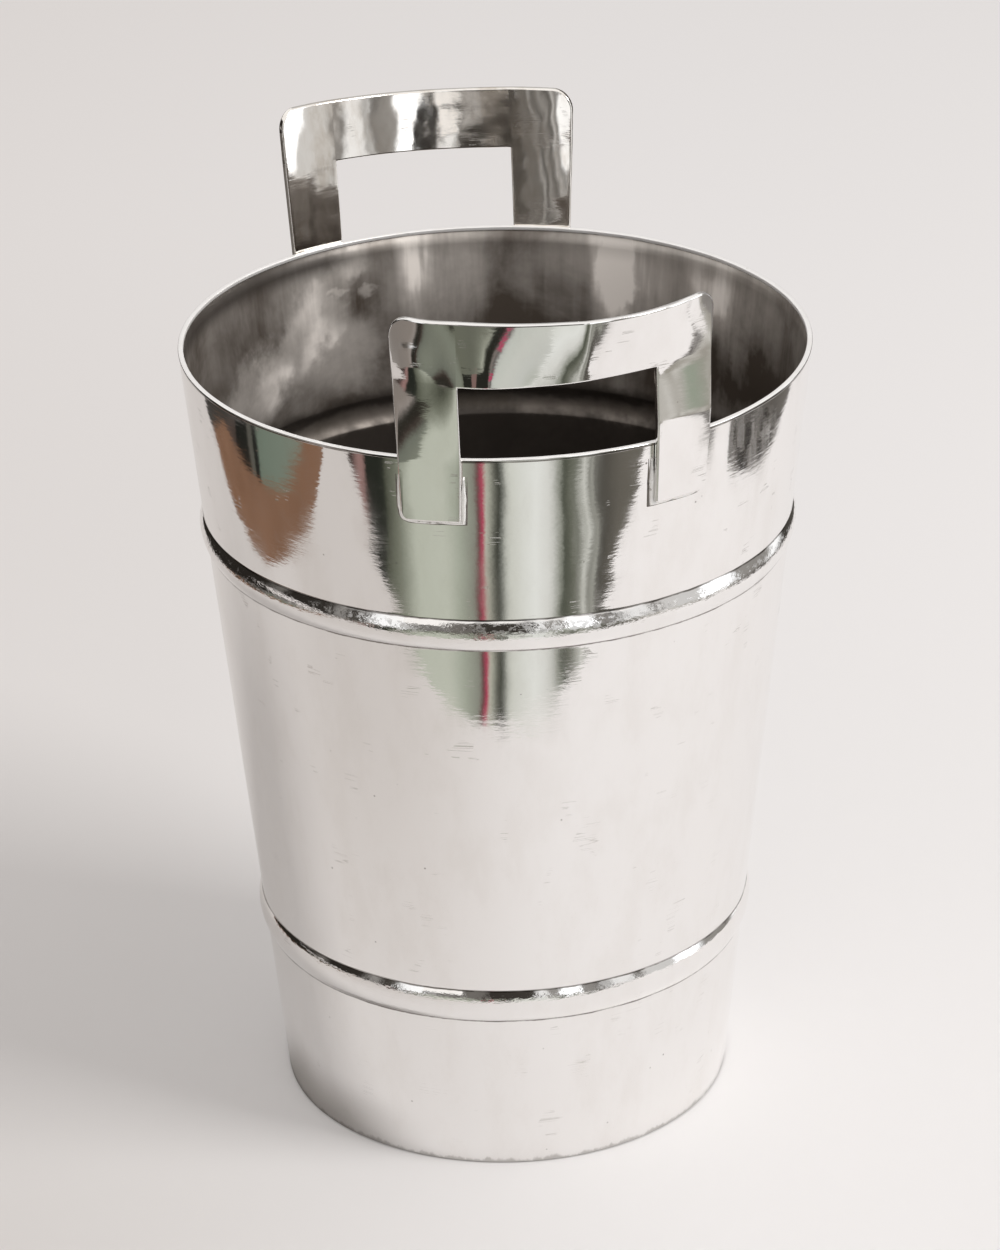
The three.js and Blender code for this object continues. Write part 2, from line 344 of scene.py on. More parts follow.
@dataclass(frozen=True)
class SilverFinish:
    """Polished silver plate: slow ripples, planishing marks, hairlines and tiny pits, with painted shade:
    dark lines in the creases and, where its height is set, a ragged dark band at the foot.

    A stretch holds a pattern's bumps to the metre along the three axes, and a show is a tone's strength.
    """

    name: str
    bright: Colour = (0.94, 0.928, 0.918)
    worn: Colour = (0.905, 0.888, 0.872)
    roughness: float = 0.035
    haze: float = 0.07
    ripple_length: float = 19 * MM
    ripple_depth: float = 0.13 * MM
    grain_length: float = 2.4 * MM
    grain_depth: float = 0.008 * MM
    brush_depth: float = 0.006 * MM
    scratch_depth: float = 0.01 * MM
    pit_spacing: float = 9 * MM
    seed: float = 0.0
    creases: tuple[float, ...] = ()
    crease_width: float = 0.42 * MM
    crease_waver: float = 0.8 * MM
    # The dark line along each crease is painted shade.
    crease_shade_tone: Colour = (0.12, 0.1, 0.085)
    facet_depth: float = 0.13 * MM
    facet_stretch: Triple = (260, 260, 560)
    metallic: float = 1.0
    # The ragged dark band at the foot is painted shade where the wall meets the table, its edge broken by
    # nicks.
    base_shade_below: float = -10 * MM
    base_shade_tone: Colour = (0.2, 0.18, 0.16)
    base_shade_show: float = 0.42
    nick_depth: float = 5 * MM
    nick_stretch: Triple = (260, 260, 120)
    rib_haze: float = 0.015
    speck_haze: float = 0.22
    speck_stretch: Triple = (420, 420, 700)
    speck_blend: float = 1.2 * MM
    cloud_stretch: Triple = (70, 70, 28)
    brush_stretch: Triple = (60, 60, 900)
    scratch_stretch: Triple = (12, 12, 520)
    scratch_turns: tuple[Triple, Triple] = ((0.05, 0.04, 0.0), (0.5, 0.62, 0.3))
    scratch_share: float = 0.37
    scratch_tone: Colour = (0.45, 0.43, 0.4)
    scratch_show: float = 0.42
    scratch_haze: float = 0.2
    scratch_width: float = 0.012
    scratch_patches: float = 85.0
    pit_tone: Colour = (0.16, 0.14, 0.12)
    pit_show: float = 0.85
    pit_patches: float = 24.0

    def scratches(self, graph: NodeGraph, place: Value, turn: Sequence[float]) -> bpy.types.NodeSocket:
        """Draws thin broken lines in one direction.

        Args:
            graph: The material's graph.
            place: Where the pattern is read.
            turn: Angles that turn the lines.

        Returns:
            A socket that is 1 on a line.
        """
        along = graph.mapping(place, self.scratch_stretch, turn)
        lines = graph.noise(along, 1.0, 1.0, 0.4)
        ridge = graph.math("ABSOLUTE", graph.math("SUBTRACT", lines, 0.5))
        thin = graph.remap(ridge, 0.0, self.scratch_width, 1.0, 0.0)
        patches = graph.noise(place, self.scratch_patches, 2.0, 0.6)
        bare = 1 - self.scratch_share
        return graph.math("MULTIPLY", thin, graph.remap(patches, bare, bare + 0.04, 0.0, 1.0))

    def pits(self, graph: NodeGraph, place: Value) -> bpy.types.NodeSocket:
        """Draws tiny dark pits.

        Args:
            graph: The material's graph.
            place: Where the pattern is read.

        Returns:
            A socket that is 1 in a pit.
        """
        near = graph.cells(place, 1 / self.pit_spacing)
        spots = graph.remap(near, 0.02, 0.05, 0.8, 0.0)
        patches = graph.noise(place, self.pit_patches, 2.0, 0.6)
        return graph.math("MULTIPLY", spots, graph.remap(patches, 0.5, 0.56, 0.0, 1.0))

    def crease_shade_lines(self, graph: NodeGraph, place: Value) -> bpy.types.NodeSocket:
        """Draws dark lines of painted shade in the creases of the ribs.

        Args:
            graph: The material's graph.
            place: Where the pattern is read.

        Returns:
            A socket that is 1 in a crease.
        """
        wobble = graph.noise(place, 90.0, 4.0, 0.65)
        height = graph.math("MULTIPLY_ADD", wobble, self.crease_waver, graph.split(place)[2])
        share: Value = 0.0
        for crease in self.creases:
            off = graph.math("ABSOLUTE", graph.math("SUBTRACT", height, crease + self.crease_waver / 2))
            line = graph.remap(off, 0.35 * self.crease_width, self.crease_width, 1.0, 0.0)
            share = graph.math("MAXIMUM", share, line)
        return graph.math("MULTIPLY", share, graph.remap(wobble, 0.3, 0.6, 0.45, 0.85))

    def rib_mask(self, graph: NodeGraph, place: Value) -> Value:
        """Marks the ribs. Each pair of creases bounds one.

        Args:
            graph: The material's graph.
            place: Where the pattern is read.

        Returns:
            A socket that is 1 between the creases of a rib, or 0 where there is none.
        """
        height = graph.split(place)[2]
        share: Value = 0.0
        for low, high in zip(self.creases[::2], self.creases[1::2]):
            width = high - low
            off = graph.math("ABSOLUTE", graph.math("SUBTRACT", height, (low + high) / 2))
            share = graph.math("MAXIMUM", share, graph.remap(off, 0.3 * width, 0.5 * width, 1.0, 0.0))
        return share

    def worn_rib(self, graph: NodeGraph, place: Value, height: Value) -> bpy.types.NodeSocket:
        """Draws the haze of the ribs, with dull specks on the upper flank of the highest one.

        Args:
            graph: The material's graph.
            place: Where the pattern is read.
            height: Height above the table.

        Returns:
            A socket with the roughness that the ribs gain.
        """
        specks = graph.noise(graph.mapping(place, self.speck_stretch), 1.0, 2.0, 0.6)
        middle = sum(self.creases[-2:]) / 2
        specks = graph.math("MULTIPLY", graph.remap(specks, 0.54, 0.6, 0.0, 1.0),
                            graph.remap(height, middle, middle + self.speck_blend, 0.0, 1.0))
        return graph.math("MULTIPLY_ADD", specks, self.speck_haze, self.rib_haze)

    def material(self) -> bpy.types.Material:
        """Builds the material.

        Returns:
            The material.
        """
        material, graph = new_material(self.name)
        unmoved = graph.add("TexCoord").outputs["Object"]
        shifted = graph.add("VectorMath", operation="ADD")
        graph.feed(shifted.inputs[0], unmoved)
        shifted.inputs[1].default_value = (self.seed, 0.0, 0.0)
        place = shifted.outputs[0]
        height = graph.split(unmoved)[2]
        clouds = graph.noise(graph.mapping(place, self.cloud_stretch), 1.0, 5.0, 0.65)
        lines = graph.math("MAXIMUM", *(self.scratches(graph, place, turn) for turn in self.scratch_turns))
        pits = self.pits(graph, place)
        tint = graph.mix(graph.remap(clouds, 0.42, 0.7, 0.0, 1.0), self.bright, self.worn)
        tint = graph.mix(graph.math("MULTIPLY", lines, self.scratch_show), tint, self.scratch_tone)
        tint = graph.mix(graph.math("MULTIPLY", pits, self.pit_show), tint, self.pit_tone)
        # Painted shade: dark lines along the creases.
        if self.creases:
            tint = graph.mix(self.crease_shade_lines(graph, unmoved), tint, self.crease_shade_tone)
        # Painted shade: a ragged dark band at the foot.
        nicks = graph.noise(graph.mapping(place, self.nick_stretch), 1.0, 3.0, 0.6)
        ragged = graph.math("MULTIPLY_ADD", nicks, -self.nick_depth, height)
        base_shade_foot = self.base_shade_below - 0.68 * self.nick_depth
        base_shade_top = self.base_shade_below - 0.4 * self.nick_depth
        tone_patch = graph.remap(ragged, base_shade_foot, base_shade_top, self.base_shade_show, 0.0)
        tint = graph.mix(tone_patch, tint, self.base_shade_tone)
        rough = graph.remap(clouds, 0.35, 0.75, self.roughness, self.roughness + self.haze)
        rough = graph.math("ADD", rough, graph.math("MULTIPLY", lines, self.scratch_haze))
        if self.creases:
            ribs = self.rib_mask(graph, unmoved)
            rough = graph.math("MULTIPLY_ADD", ribs, self.worn_rib(graph, place, height), rough)
        ripples = graph.noise(place, 1 / self.ripple_length, 1.5, 0.4)
        normal = graph.bump(ripples, self.ripple_depth)
        grain = graph.noise(graph.mapping(place, (1, 1, 2.2)), 1 / self.grain_length, 2.0, 0.5)
        normal = graph.bump(grain, self.grain_depth, normal)
        brush = graph.noise(graph.mapping(place, self.brush_stretch), 1.0, 2.0, 0.6)
        normal = graph.bump(brush, self.brush_depth, normal)
        if self.creases:
            facets = graph.noise(graph.mapping(place, self.facet_stretch), 1.0, 3.0, 0.65)
            normal = graph.bump(graph.math("MULTIPLY", facets, ribs), self.facet_depth, normal)
        cuts = graph.math("SUBTRACT", 1.0, graph.math("MAXIMUM", lines, pits))
        normal = graph.bump(cuts, self.scratch_depth, normal)
        graph.finish_metal(tint, rough, normal, self.metallic)
        return material


@dataclass(frozen=True)
class TonePatch:
    """A soft pale or dark patch on the inside of the wall, seen from the front; a pale one laid on a window's
    glint is a painted highlight.
    """

    across: float
    height: float
    half_width: float
    half_height: float
    strength: float
    turn: float = 0.0

    def share(self, graph: NodeGraph, across: Value, height: Value) -> bpy.types.NodeSocket:
        """Draws the patch.

        Args:
            graph: The material's graph.
            across: Distance to the right of the middle.
            height: Height above the table.

        Returns:
            A socket that is the strength in the patch's middle and 0 outside it.
        """
        along = graph.math("SUBTRACT", across, self.across)
        above = graph.math("SUBTRACT", height, self.height)
        cosine, sine = math.cos(self.turn), math.sin(self.turn)
        first = graph.math("MULTIPLY_ADD", along, cosine, graph.math("MULTIPLY", above, sine))
        second = graph.math("MULTIPLY_ADD", above, cosine, graph.math("MULTIPLY", along, -sine))
        first = graph.math("POWER", graph.math("MULTIPLY", first, 1 / self.half_width), 2.0)
        second = graph.math("POWER", graph.math("MULTIPLY", second, 1 / self.half_height), 2.0)
        return graph.remap(graph.math("ADD", first, second), 0.0, 2.2, self.strength, 0.0)


@dataclass(frozen=True)
class TarnishFinish:
    """Matt tarnished silver: cloudy patches and a fine grain, darker low down, with painted highlights in
    upright streaks and along the groove, and painted shade just under the rim.
    """

    name: str
    dark: Colour = (0.1, 0.08, 0.064)
    pale: Colour = (1.0, 0.94, 0.88)
    low: Colour = (0.042, 0.034, 0.028)
    low_pale: Colour = (0.085, 0.072, 0.062)
    # The pale cloudy band along the groove is a painted highlight.
    groove_highlight_dark: Colour = (0.1, 0.085, 0.07)
    groove_highlight_pale: Colour = (0.25, 0.22, 0.195)
    groove_top: tuple[float, float] = (207 * MM, 212 * MM)
    groove_middle: float = 201.3 * MM
    groove_core: float = 0.8 * MM
    groove_reach: float = 4.6 * MM
    groove_waver: float = 4 * MM
    low_waver: float = 7 * MM
    rim_fade: tuple[float, float] = (222 * MM, 252 * MM)
    # Painted shade under the rim: a slight dimming all round and a deeper shadow on the left.
    rim_shade_heights: tuple[float, float] = (254 * MM, 261 * MM)
    rim_shadow: tuple[float, float] = (253 * MM, 260 * MM)
    shadow_sides: tuple[float, float] = (-60 * MM, -36 * MM)
    front_reach: float = 50 * MM
    side_waver: float = 9 * MM
    level_waver: float = 14 * MM
    smoke_waver: float = 16 * MM
    metallic: float = 0.5
    roughness: float = 0.36
    dull_haze: float = 0.14
    cloud_length: float = 42 * MM
    grain_depth: float = 0.012 * MM
    grain_stretch: Triple = (220, 220, 700)
    dent_depth: float = 0.3 * MM
    # The upright streaks are painted highlights, the glints of windows.
    streak_scale: float = 5.0
    tone_patches: tuple[TonePatch, ...] = ()

    def streaks(self, graph: NodeGraph, across: Value, place: Value) -> bpy.types.NodeSocket:
        """Draws upright streaks of painted highlight, the glints of windows, strongest near the rim at the
        back.

        Args:
            graph: The material's graph.
            across: Distance to the right of the middle, with a wobble.
            place: Where the fine pattern is read.

        Returns:
            A socket with a brightness from 0 to 1.
        """
        millimetres = [
            (-100, 0.12), (-86, 0.2), (-74, 0.2), (-67, 0.42), (-62, 0.42), (-58, 0.36), (-52, 0.32),
            (-45, 0.36), (-39, 0.2), (-33.5, 0.26), (-29, 0.8), (-25, 1.0), (-20, 0.62), (-12, 0.42),
            (-5, 0.4), (2, 0.15), (16, 0.27), (25, 0.28), (31, 0.4), (36, 0.78), (39, 1.0), (43, 1.0),
            (47, 0.8), (52, 0.58), (57, 0.42), (64, 0.38), (70, 0.58), (76, 0.72), (83, 0.5), (89, 0.32),
            (100, 0.22),
        ]
        share = graph.math("MULTIPLY_ADD", across, self.streak_scale, 0.5)
        stops = [(0.5 + spot * MM * self.streak_scale, (grey, grey, grey)) for spot, grey in millimetres]
        broad = graph.ramp(share, stops)
        fine = graph.noise(graph.mapping(place, (150, 150, 5)), 1.0, 3.0, 0.6)
        return graph.math("MULTIPLY", broad, graph.remap(fine, 0.3, 0.7, 0.72, 1.28))

    def shifted(self, graph: NodeGraph, place: Value, noise: Value, reach: float) -> bpy.types.NodeSocket:
        """Shifts a place both ways by a noise.

        Args:
            graph: The material's graph.
            place: The place.
            noise: The noise, from 0 to 1.
            reach: Width of the shift.

        Returns:
            The new place's socket.
        """
        return graph.math("MULTIPLY_ADD", graph.math("SUBTRACT", noise, 0.5), reach, place)

    def marks(self, graph: NodeGraph, place: Value, across: Value, height: Value, drift: Value,
              clouds: Value) -> bpy.types.NodeSocket:
        """Draws the upper part's upright painted highlights and its pale and dark patches, with painted shade
        just under the rim.

        Args:
            graph: The material's graph.
            place: Where the fine pattern is read.
            across: Distance to the right of the middle.
            height: Height above the table.
            drift: A noise that shifts the marks.
            clouds: The cloudy pattern.

        Returns:
            A socket with a brightness from 0 to 1.
        """
        wander = graph.noise(graph.mapping(place, (34, 34, 22)), 1.0, 3.0, 0.6)
        across = self.shifted(graph, across, wander, self.side_waver)
        level = self.shifted(graph, height, drift, self.level_waver)
        smoky = self.shifted(graph, across, drift, -self.smoke_waver)
        fade = graph.remap(level, *self.rim_fade, 0.3, 1.0)
        pattern = graph.math("MULTIPLY", self.streaks(graph, across, place), fade)
        for tone_patch in self.tone_patches:
            pattern = graph.math("ADD", pattern, tone_patch.share(graph, smoky, level))
        pattern = graph.math("ADD", pattern, graph.math("MULTIPLY_ADD", clouds, 0.3, -0.15), clamp=True)
        # Painted shade: the marks dim just under the rim.
        return graph.math("MULTIPLY", pattern, graph.remap(height, *self.rim_shade_heights, 1.0, 0.85))

    def material(self) -> bpy.types.Material:
        """Builds the material.

        Returns:
            The material.
        """
        material, graph = new_material(self.name)
        place = graph.add("TexCoord").outputs["Object"]
        across, depth, height = graph.split(graph.mapping(place, turn=(0, 0, -VIEW_AZIMUTH)))
        drift = graph.noise(place, 60.0, 4.0, 0.65)
        clouds = graph.noise(place, 1 / self.cloud_length, 5.0, 0.62, 0.25)
        clouds = graph.remap(clouds, 0.34, 0.66, 0.0, 1.0)
        pattern = self.marks(graph, place, across, height, drift, clouds)
        on_left = graph.remap(across, *self.shadow_sides, 0.85, 0.12)
        shadow = graph.math("MULTIPLY", graph.remap(height, *self.rim_shadow, 0.0, 1.0), on_left)
        tint = graph.mix(shadow, graph.mix(pattern, self.dark, self.pale), self.low)
        front = graph.remap(depth, -self.front_reach, 0.0, 0.85, 0.0)
        front = graph.math("MULTIPLY", front, graph.remap(clouds, 0.3, 0.9, 1.0, 0.45))
        tint = graph.mix(front, tint, self.dark)
        below = self.shifted(graph, height, drift, self.low_waver)
        is_low = graph.remap(below, *self.groove_top, 1.0, 0.0)
        tint = graph.mix(is_low, tint, graph.mix(clouds, self.low, self.low_pale))
        # Painted highlight: a pale cloudy band along the groove.
        off = self.shifted(graph, below, clouds, self.groove_waver)
        off = graph.math("ABSOLUTE", graph.math("SUBTRACT", off, self.groove_middle))
        groove_highlight = graph.remap(off, self.groove_core, self.groove_reach, 1.0, 0.0)
        tint = graph.mix(groove_highlight, tint, graph.mix(clouds, self.groove_highlight_dark, self.groove_highlight_pale))
        rough = graph.remap(clouds, 0.0, 1.0, self.roughness + self.dull_haze, self.roughness)
        grain = graph.noise(graph.mapping(place, self.grain_stretch), 1.0, 3.0, 0.6)
        dents = graph.noise(place, 30.0, 2.0, 0.5)
        normal = graph.bump(dents, self.dent_depth, graph.bump(grain, self.grain_depth))
        # Metallic falls where the painted highlights and pale patches are brightest, so that they render
        # paler.
        graph.finish_metal(tint, rough, normal, graph.remap(pattern, 0.6, 1.0, self.metallic, 0.0))
        return material


# Patches of the inside; the tall pale one at 41 mm is a painted highlight that strengthens a window's glint.
INSIDE_TONE_PATCHES = (
    TonePatch(-65 * MM, 236 * MM, 9 * MM, 21 * MM, 0.45, math.radians(-34)),
    TonePatch(-52 * MM, 226 * MM, 12 * MM, 12 * MM, 0.38),
    TonePatch(-48 * MM, 246 * MM, 9 * MM, 7 * MM, -0.22),
    TonePatch(-42 * MM, 246.5 * MM, 3 * MM, 1.2 * MM, 0.3),
    TonePatch(-53.5 * MM, 249 * MM, 3 * MM, 1.1 * MM, 0.25),
    TonePatch(-49 * MM, 258 * MM, 5 * MM, 6 * MM, 0.3),
    TonePatch(-81 * MM, 224 * MM, 9 * MM, 9 * MM, 0.45),
    TonePatch(41 * MM, 250 * MM, 5 * MM, 18 * MM, 0.4),
    TonePatch(75 * MM, 246 * MM, 6 * MM, 9 * MM, 0.15),
    TonePatch(82 * MM, 230 * MM, 3.5 * MM, 7 * MM, 0.25),
    TonePatch(75 * MM, 229 * MM, 10 * MM, 12 * MM, -0.35),
    TonePatch(90 * MM, 226 * MM, 8 * MM, 10 * MM, -0.25),
)


@dataclass(frozen=True)
class SolderFinish:
    """Solder that was wiped and polished by hand: lumpy, with dull dark patches."""

    name: str
    bright: Colour = (0.93, 0.92, 0.9)
    dark: Colour = (0.3, 0.28, 0.25)
    roughness: float = 0.32
    metallic: float = 0.5
    lump_length: float = 7 * MM
    lump_depth: float = 0.07 * MM
    stained_haze: float = 0.25

    def material(self) -> bpy.types.Material:
        """Builds the material.

        Returns:
            The material.
        """
        material, graph = new_material(self.name)
        place = graph.add("TexCoord").outputs["Object"]
        lumps = graph.noise(place, 1 / self.lump_length, 2.0, 0.5)
        tone_patches = graph.noise(place, 240.0, 3.0, 0.65)
        tint = graph.mix(graph.remap(tone_patches, 0.6, 0.7, 0.0, 0.7), self.bright, self.dark)
        rough = graph.remap(tone_patches, 0.4, 0.7, self.roughness, self.roughness + self.stained_haze)
        graph.finish_metal(tint, rough, graph.bump(lumps, self.lump_depth), self.metallic)
        return material


def place_piece(bm: bmesh.types.BMesh, name: str, materials: Sequence[bpy.types.Material],
                nodes: Sequence[str]) -> bpy.types.Object:
    """Turns a finished bmesh into a piece that rides on the body.

    Args:
        bm: The shape, in the frame's metres. It is freed.
        name: Name of the piece.
        materials: Its materials, in the order of the faces' indices.
        nodes: CAD nodes that it stands for.

    Returns:
        The new object.
    """
    mesh = bpy.data.meshes.new(name)
    for face in bm.faces:
        face.smooth = True
    bm.to_mesh(mesh)
    bm.free()
    for material in materials:
        mesh.materials.append(material)
    piece = bpy.data.objects.new(name, mesh)
    bpy.context.scene.collection.objects.link(piece)
    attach(piece, "root")
    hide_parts(*nodes)
    LOG.info("%s: %d faces", name, len(mesh.polygons))
    return piece


def spin_section(section: Sequence[tuple[float, float]], steps: int, closed: bool) -> bmesh.types.BMesh:
    """Spins a section of radius and height pairs once round the upright axis.

    Args:
        section: The points, in metres.
        steps: Facets of the full turn.
        closed: Whether the last point joins the first one.

    Returns:
        A bmesh with outward faces.
    """
    bm = bmesh.new()
    points = [bm.verts.new((radius, 0.0, height)) for radius, height in section]
    pairs = list(zip(points, points[1:]))
    if closed:
        pairs.append((points[-1], points[0]))
    edges = [bm.edges.new(pair) for pair in pairs]
    bmesh.ops.spin(bm, geom=points + edges, cent=(0, 0, 0), axis=(0, 0, 1), angle=FULL_TURN,
                   steps=steps, use_merge=True, use_duplicate=False)
    bmesh.ops.remove_doubles(bm, verts=bm.verts, dist=0.5 * MERGE)
    bmesh.ops.recalc_face_normals(bm, faces=bm.faces)
    return bm


def round_corners(bm: bmesh.types.BMesh, corners: Sequence[bmesh.types.BMVert], radius: float,
                  steps: int) -> None:
    """Rounds corners of a flat plate.

    Args:
        bm: The plate.
        corners: The corners.
        radius: Their radius.
        steps: Facets of each arc.
    """
    bmesh.ops.bevel(bm, geom=corners, offset=radius, offset_type="OFFSET", affect="VERTICES",
                    segments=steps, profile=0.5, material=-1)


@dataclass
class BodyWall:
    """The one-piece wall: a straight taper with two swaged ribs and a plain lip."""

    height: float = 264.4 * MM
    base_radius: float = 75.2 * MM
    mouth_radius: float = 101.75 * MM
    thickness: float = 1.3 * MM
    lip_height: float = 2.2 * MM
    lip_radius: float = 101.66 * MM
    rim_gap: float = 0.9 * MM
    rib_heights: tuple[float, float] = (63.3 * MM, 202.9 * MM)
    rib_widths: tuple[float, float] = (11.8 * MM, 10.8 * MM)
    rib_proud: float = 1.6 * MM
    crease_softness: float = 0.09 * MM
    crease_reach: tuple[float, float] = (0.4 * MM, 1.5 * MM)
    rib_reach: tuple[float, float] = (0.5 * MM, 9 * MM)
    base_rounding: float = 0.35 * MM
    outer_step: float = 0.13 * MM
    inner_step: float = 0.3 * MM
    plain_step: float = 5 * MM
    lip_step: float = 0.4 * MM
    round_steps: int = 240
    waver_depth: float = 0.035 * MM
    calm_edge: float = 12 * MM
    waves: tuple[tuple[float, float, float, float], ...] = (
        (3, 11, 0.7, 1.0), (7, -38, 2.1, 0.8), (13, 71, 4.4, 0.6), (19, -122, 1.2, 0.45),
        (11, 205, 5.2, 0.35))
    finish: SilverFinish = field(default_factory=lambda: SilverFinish(
        "polished_silver_wall", base_shade_below=1.4 * MM))
    inside: TarnishFinish = field(default_factory=lambda: TarnishFinish(
        "tarnished_silver_inside", tone_patches=INSIDE_TONE_PATCHES))

    def taper(self, height: float) -> float:
        """Returns the outer radius of the straight taper."""
        return lerp(self.base_radius, self.mouth_radius, height / self.height)

    def plain_radius(self, height: float) -> float:
        """Finds the outer radius without the ribs, with the lip.

        Args:
            height: Height above the table.

        Returns:
            The radius.
        """
        start = self.height - self.lip_height
        if height <= start:
            return self.taper(height)
        share = (height - start) / (self.height - self.rim_gap - start)
        return lerp(self.taper(start), self.lip_radius, min(1.0, share))

    def rib_rise(self, height: float, inset: float) -> float:
        """Finds how far the ribs stand out.

        Args:
            height: Height above the table.
            inset: How far the face lies inside the outer one.

        Returns:
            The rise at that height.
        """
        rise = 0.0
        for middle, width in zip(self.rib_heights, self.rib_widths):
            half = (width - inset) / 2
            arc = (half**2 + self.rib_proud**2) / (2 * self.rib_proud)
            off = min(abs(height - middle), arc)
            cap = math.sqrt(arc**2 - off**2) - (arc - self.rib_proud)
            rise += soft_floor(cap, self.crease_softness) if off < width else 0.0
        return rise

    def creases(self) -> tuple[float, ...]:
        """Returns the heights at which the ribs meet the wall."""
        return tuple(middle + side * width / 2 for middle, width in zip(self.rib_heights, self.rib_widths)
                     for side in (-1, 1))

    def stations(self, fine: float) -> list[float]:
        """Lists the heights of the rings, close together at the creases, on the ribs and at the lip.

        Args:
            fine: Spacing in a crease.

        Returns:
            Heights in rising order.
        """
        top = self.height - self.rim_gap
        ribs = list(zip(self.rib_heights, self.rib_widths))
        heights = [self.base_rounding]
        while heights[-1] < top:
            height = heights[-1]
            from_crease = min(abs(height - crease) for crease in self.creases())
            from_rib = min(abs(height - middle) - width / 2 for middle, width in ribs)
            step = lerp(fine, 3 * fine, smooth_step(*self.crease_reach, from_crease))
            step = lerp(step, self.plain_step, smooth_step(*self.rib_reach, from_rib))
            if height > top - 2 * self.lip_height:
                step = min(step, self.lip_step)
            heights.append(height + step)
        heights[-1] = top
        return heights

    def waver(self, angle: float, height: float) -> float:
        """Finds the hand-made waviness of the wall. It dies out towards the base and the rim.

        Args:
            angle: Angle round the upright axis.
            height: Height above the table.

        Returns:
            An offset of the radius.
        """
        hold = smooth_step(0, self.calm_edge, height)
        hold *= 1 - smooth_step(self.height - self.calm_edge, self.height, height)
        wave = sum(strength * math.sin(count * angle + climb * height + phase)
                   for count, climb, phase, strength in self.waves)
        return self.waver_depth * hold * wave

    def section(self) -> list[tuple[float, float]]:
        """Draws the wall's closed section.

        Returns:
            Radius and height pairs, up the outside and down the inside.
        """
        edge = self.base_rounding
        inner_foot = self.base_radius - self.thickness
        outside = [(self.base_radius - edge, 0.0), (self.base_radius - 0.3 * edge, 0.3 * edge)]
        outside += [(self.plain_radius(z) + self.rib_rise(z, 0.0), z) for z in self.stations(self.outer_step)]
        inside = [(self.plain_radius(z) - self.thickness + self.rib_rise(z, self.thickness), z)
                  for z in reversed(self.stations(self.inner_step))]
        inside += [(inner_foot + 0.1 * edge, 0.3 * edge), (inner_foot + 0.5 * edge, 0.0)]
        return outside + inside

    def build(self) -> bpy.types.Object:
        """Builds the wall with a polished outside and a tarnished inside.

        Returns:
            The piece.
        """
        bm = spin_section(self.section(), self.round_steps, closed=True)
        for face in bm.faces:
            centre = face.calc_center_median()
            outward = face.normal.x * centre.x + face.normal.y * centre.y
            face.material_index = 0 if outward > 0 else 1
        for vert in bm.verts:
            radius = math.hypot(vert.co.x, vert.co.y)
            offset = self.waver(math.atan2(vert.co.y, vert.co.x), vert.co.z)
            vert.co.xy *= (radius + offset) / radius
        outside = replace(self.finish, creases=self.creases())
        materials = [outside.material(), self.inside.material()]
        return place_piece(bm, "silver_wall", materials, ["body_wall"])


@dataclass
class RimBead:
    """The edge of the mouth: its side runs on from the wall, with a dark line of painted shade low along it,
    and its top is worn to a satin white.
    """

    wall: BodyWall
    inner_radius: float = 100.0 * MM
    under: float = 263.1 * MM
    corner: float = 0.32 * MM
    proud: float = 0.04 * MM
    corner_steps: int = 6
    round_steps: int = 240
    side_facing: float = 0.75
    waver_depth: float = 0.06 * MM
    waves: tuple[tuple[float, float, float], ...] = ((5, 0.4, 1.0), (17, 2.0, 0.7), (41, 0.0, 0.5))
    # Height of the dark line of painted shade on the bead's side.
    shade_line_height: float = 263.45 * MM
    side: SilverFinish = field(default_factory=lambda: SilverFinish(
        "polished_silver_rim_side", crease_width=0.7 * MM))
    top: SilverFinish = field(default_factory=lambda: SilverFinish(
        "worn_silver_rim", bright=(0.96, 0.95, 0.94), worn=(0.9, 0.885, 0.87), roughness=0.3, metallic=0.4,
        ripple_length=7 * MM, ripple_depth=0.06 * MM))

    def section(self) -> list[tuple[float, float]]:
        """Draws the bead's section, with four rounded corners.

        Returns:
            Radius and height pairs, in order round it.
        """
        top = self.wall.height
        corners = (
            (self.wall.taper(self.under) + self.proud, self.under, -1, 1, 270),
            (self.wall.taper(top) + self.proud, top, -1, -1, 0),
            (self.inner_radius, top, 1, -1, 90),
            (self.inner_radius, self.under, 1, 1, 180),
        )
        section = []
        for radius, height, inward, upward, start in corners:
            for step in range(self.corner_steps + 1):
                angle = math.radians(start + 90 * step / self.corner_steps)
                section.append((radius + self.corner * (inward + math.cos(angle)),
                                height + self.corner * (upward + math.sin(angle))))
        return section

    def build(self) -> bpy.types.Object:
        """Spins the bead, gives its side and its top their finishes, and lets it dip a little by hand.

        Returns:
            The piece.
        """
        bm = spin_section(self.section(), self.round_steps, closed=True)
        for face in bm.faces:
            centre = face.calc_center_median()
            outward = (face.normal.x * centre.x + face.normal.y * centre.y) / math.hypot(centre.x, centre.y)
            face.material_index = 0 if outward > self.side_facing else 1
        for vert in bm.verts:
            angle = math.atan2(vert.co.y, vert.co.x)
            wave = sum(strength * math.sin(count * angle + phase) for count, phase, strength in self.waves)
            vert.co.z -= self.waver_depth * (1 + wave / sum(strength for _, _, strength in self.waves))
        side = replace(self.side, creases=(self.shade_line_height, self.shade_line_height))
        materials = [side.material(), self.top.material()]
        return place_piece(bm, "silver_rim", materials, ["rim_bead"])


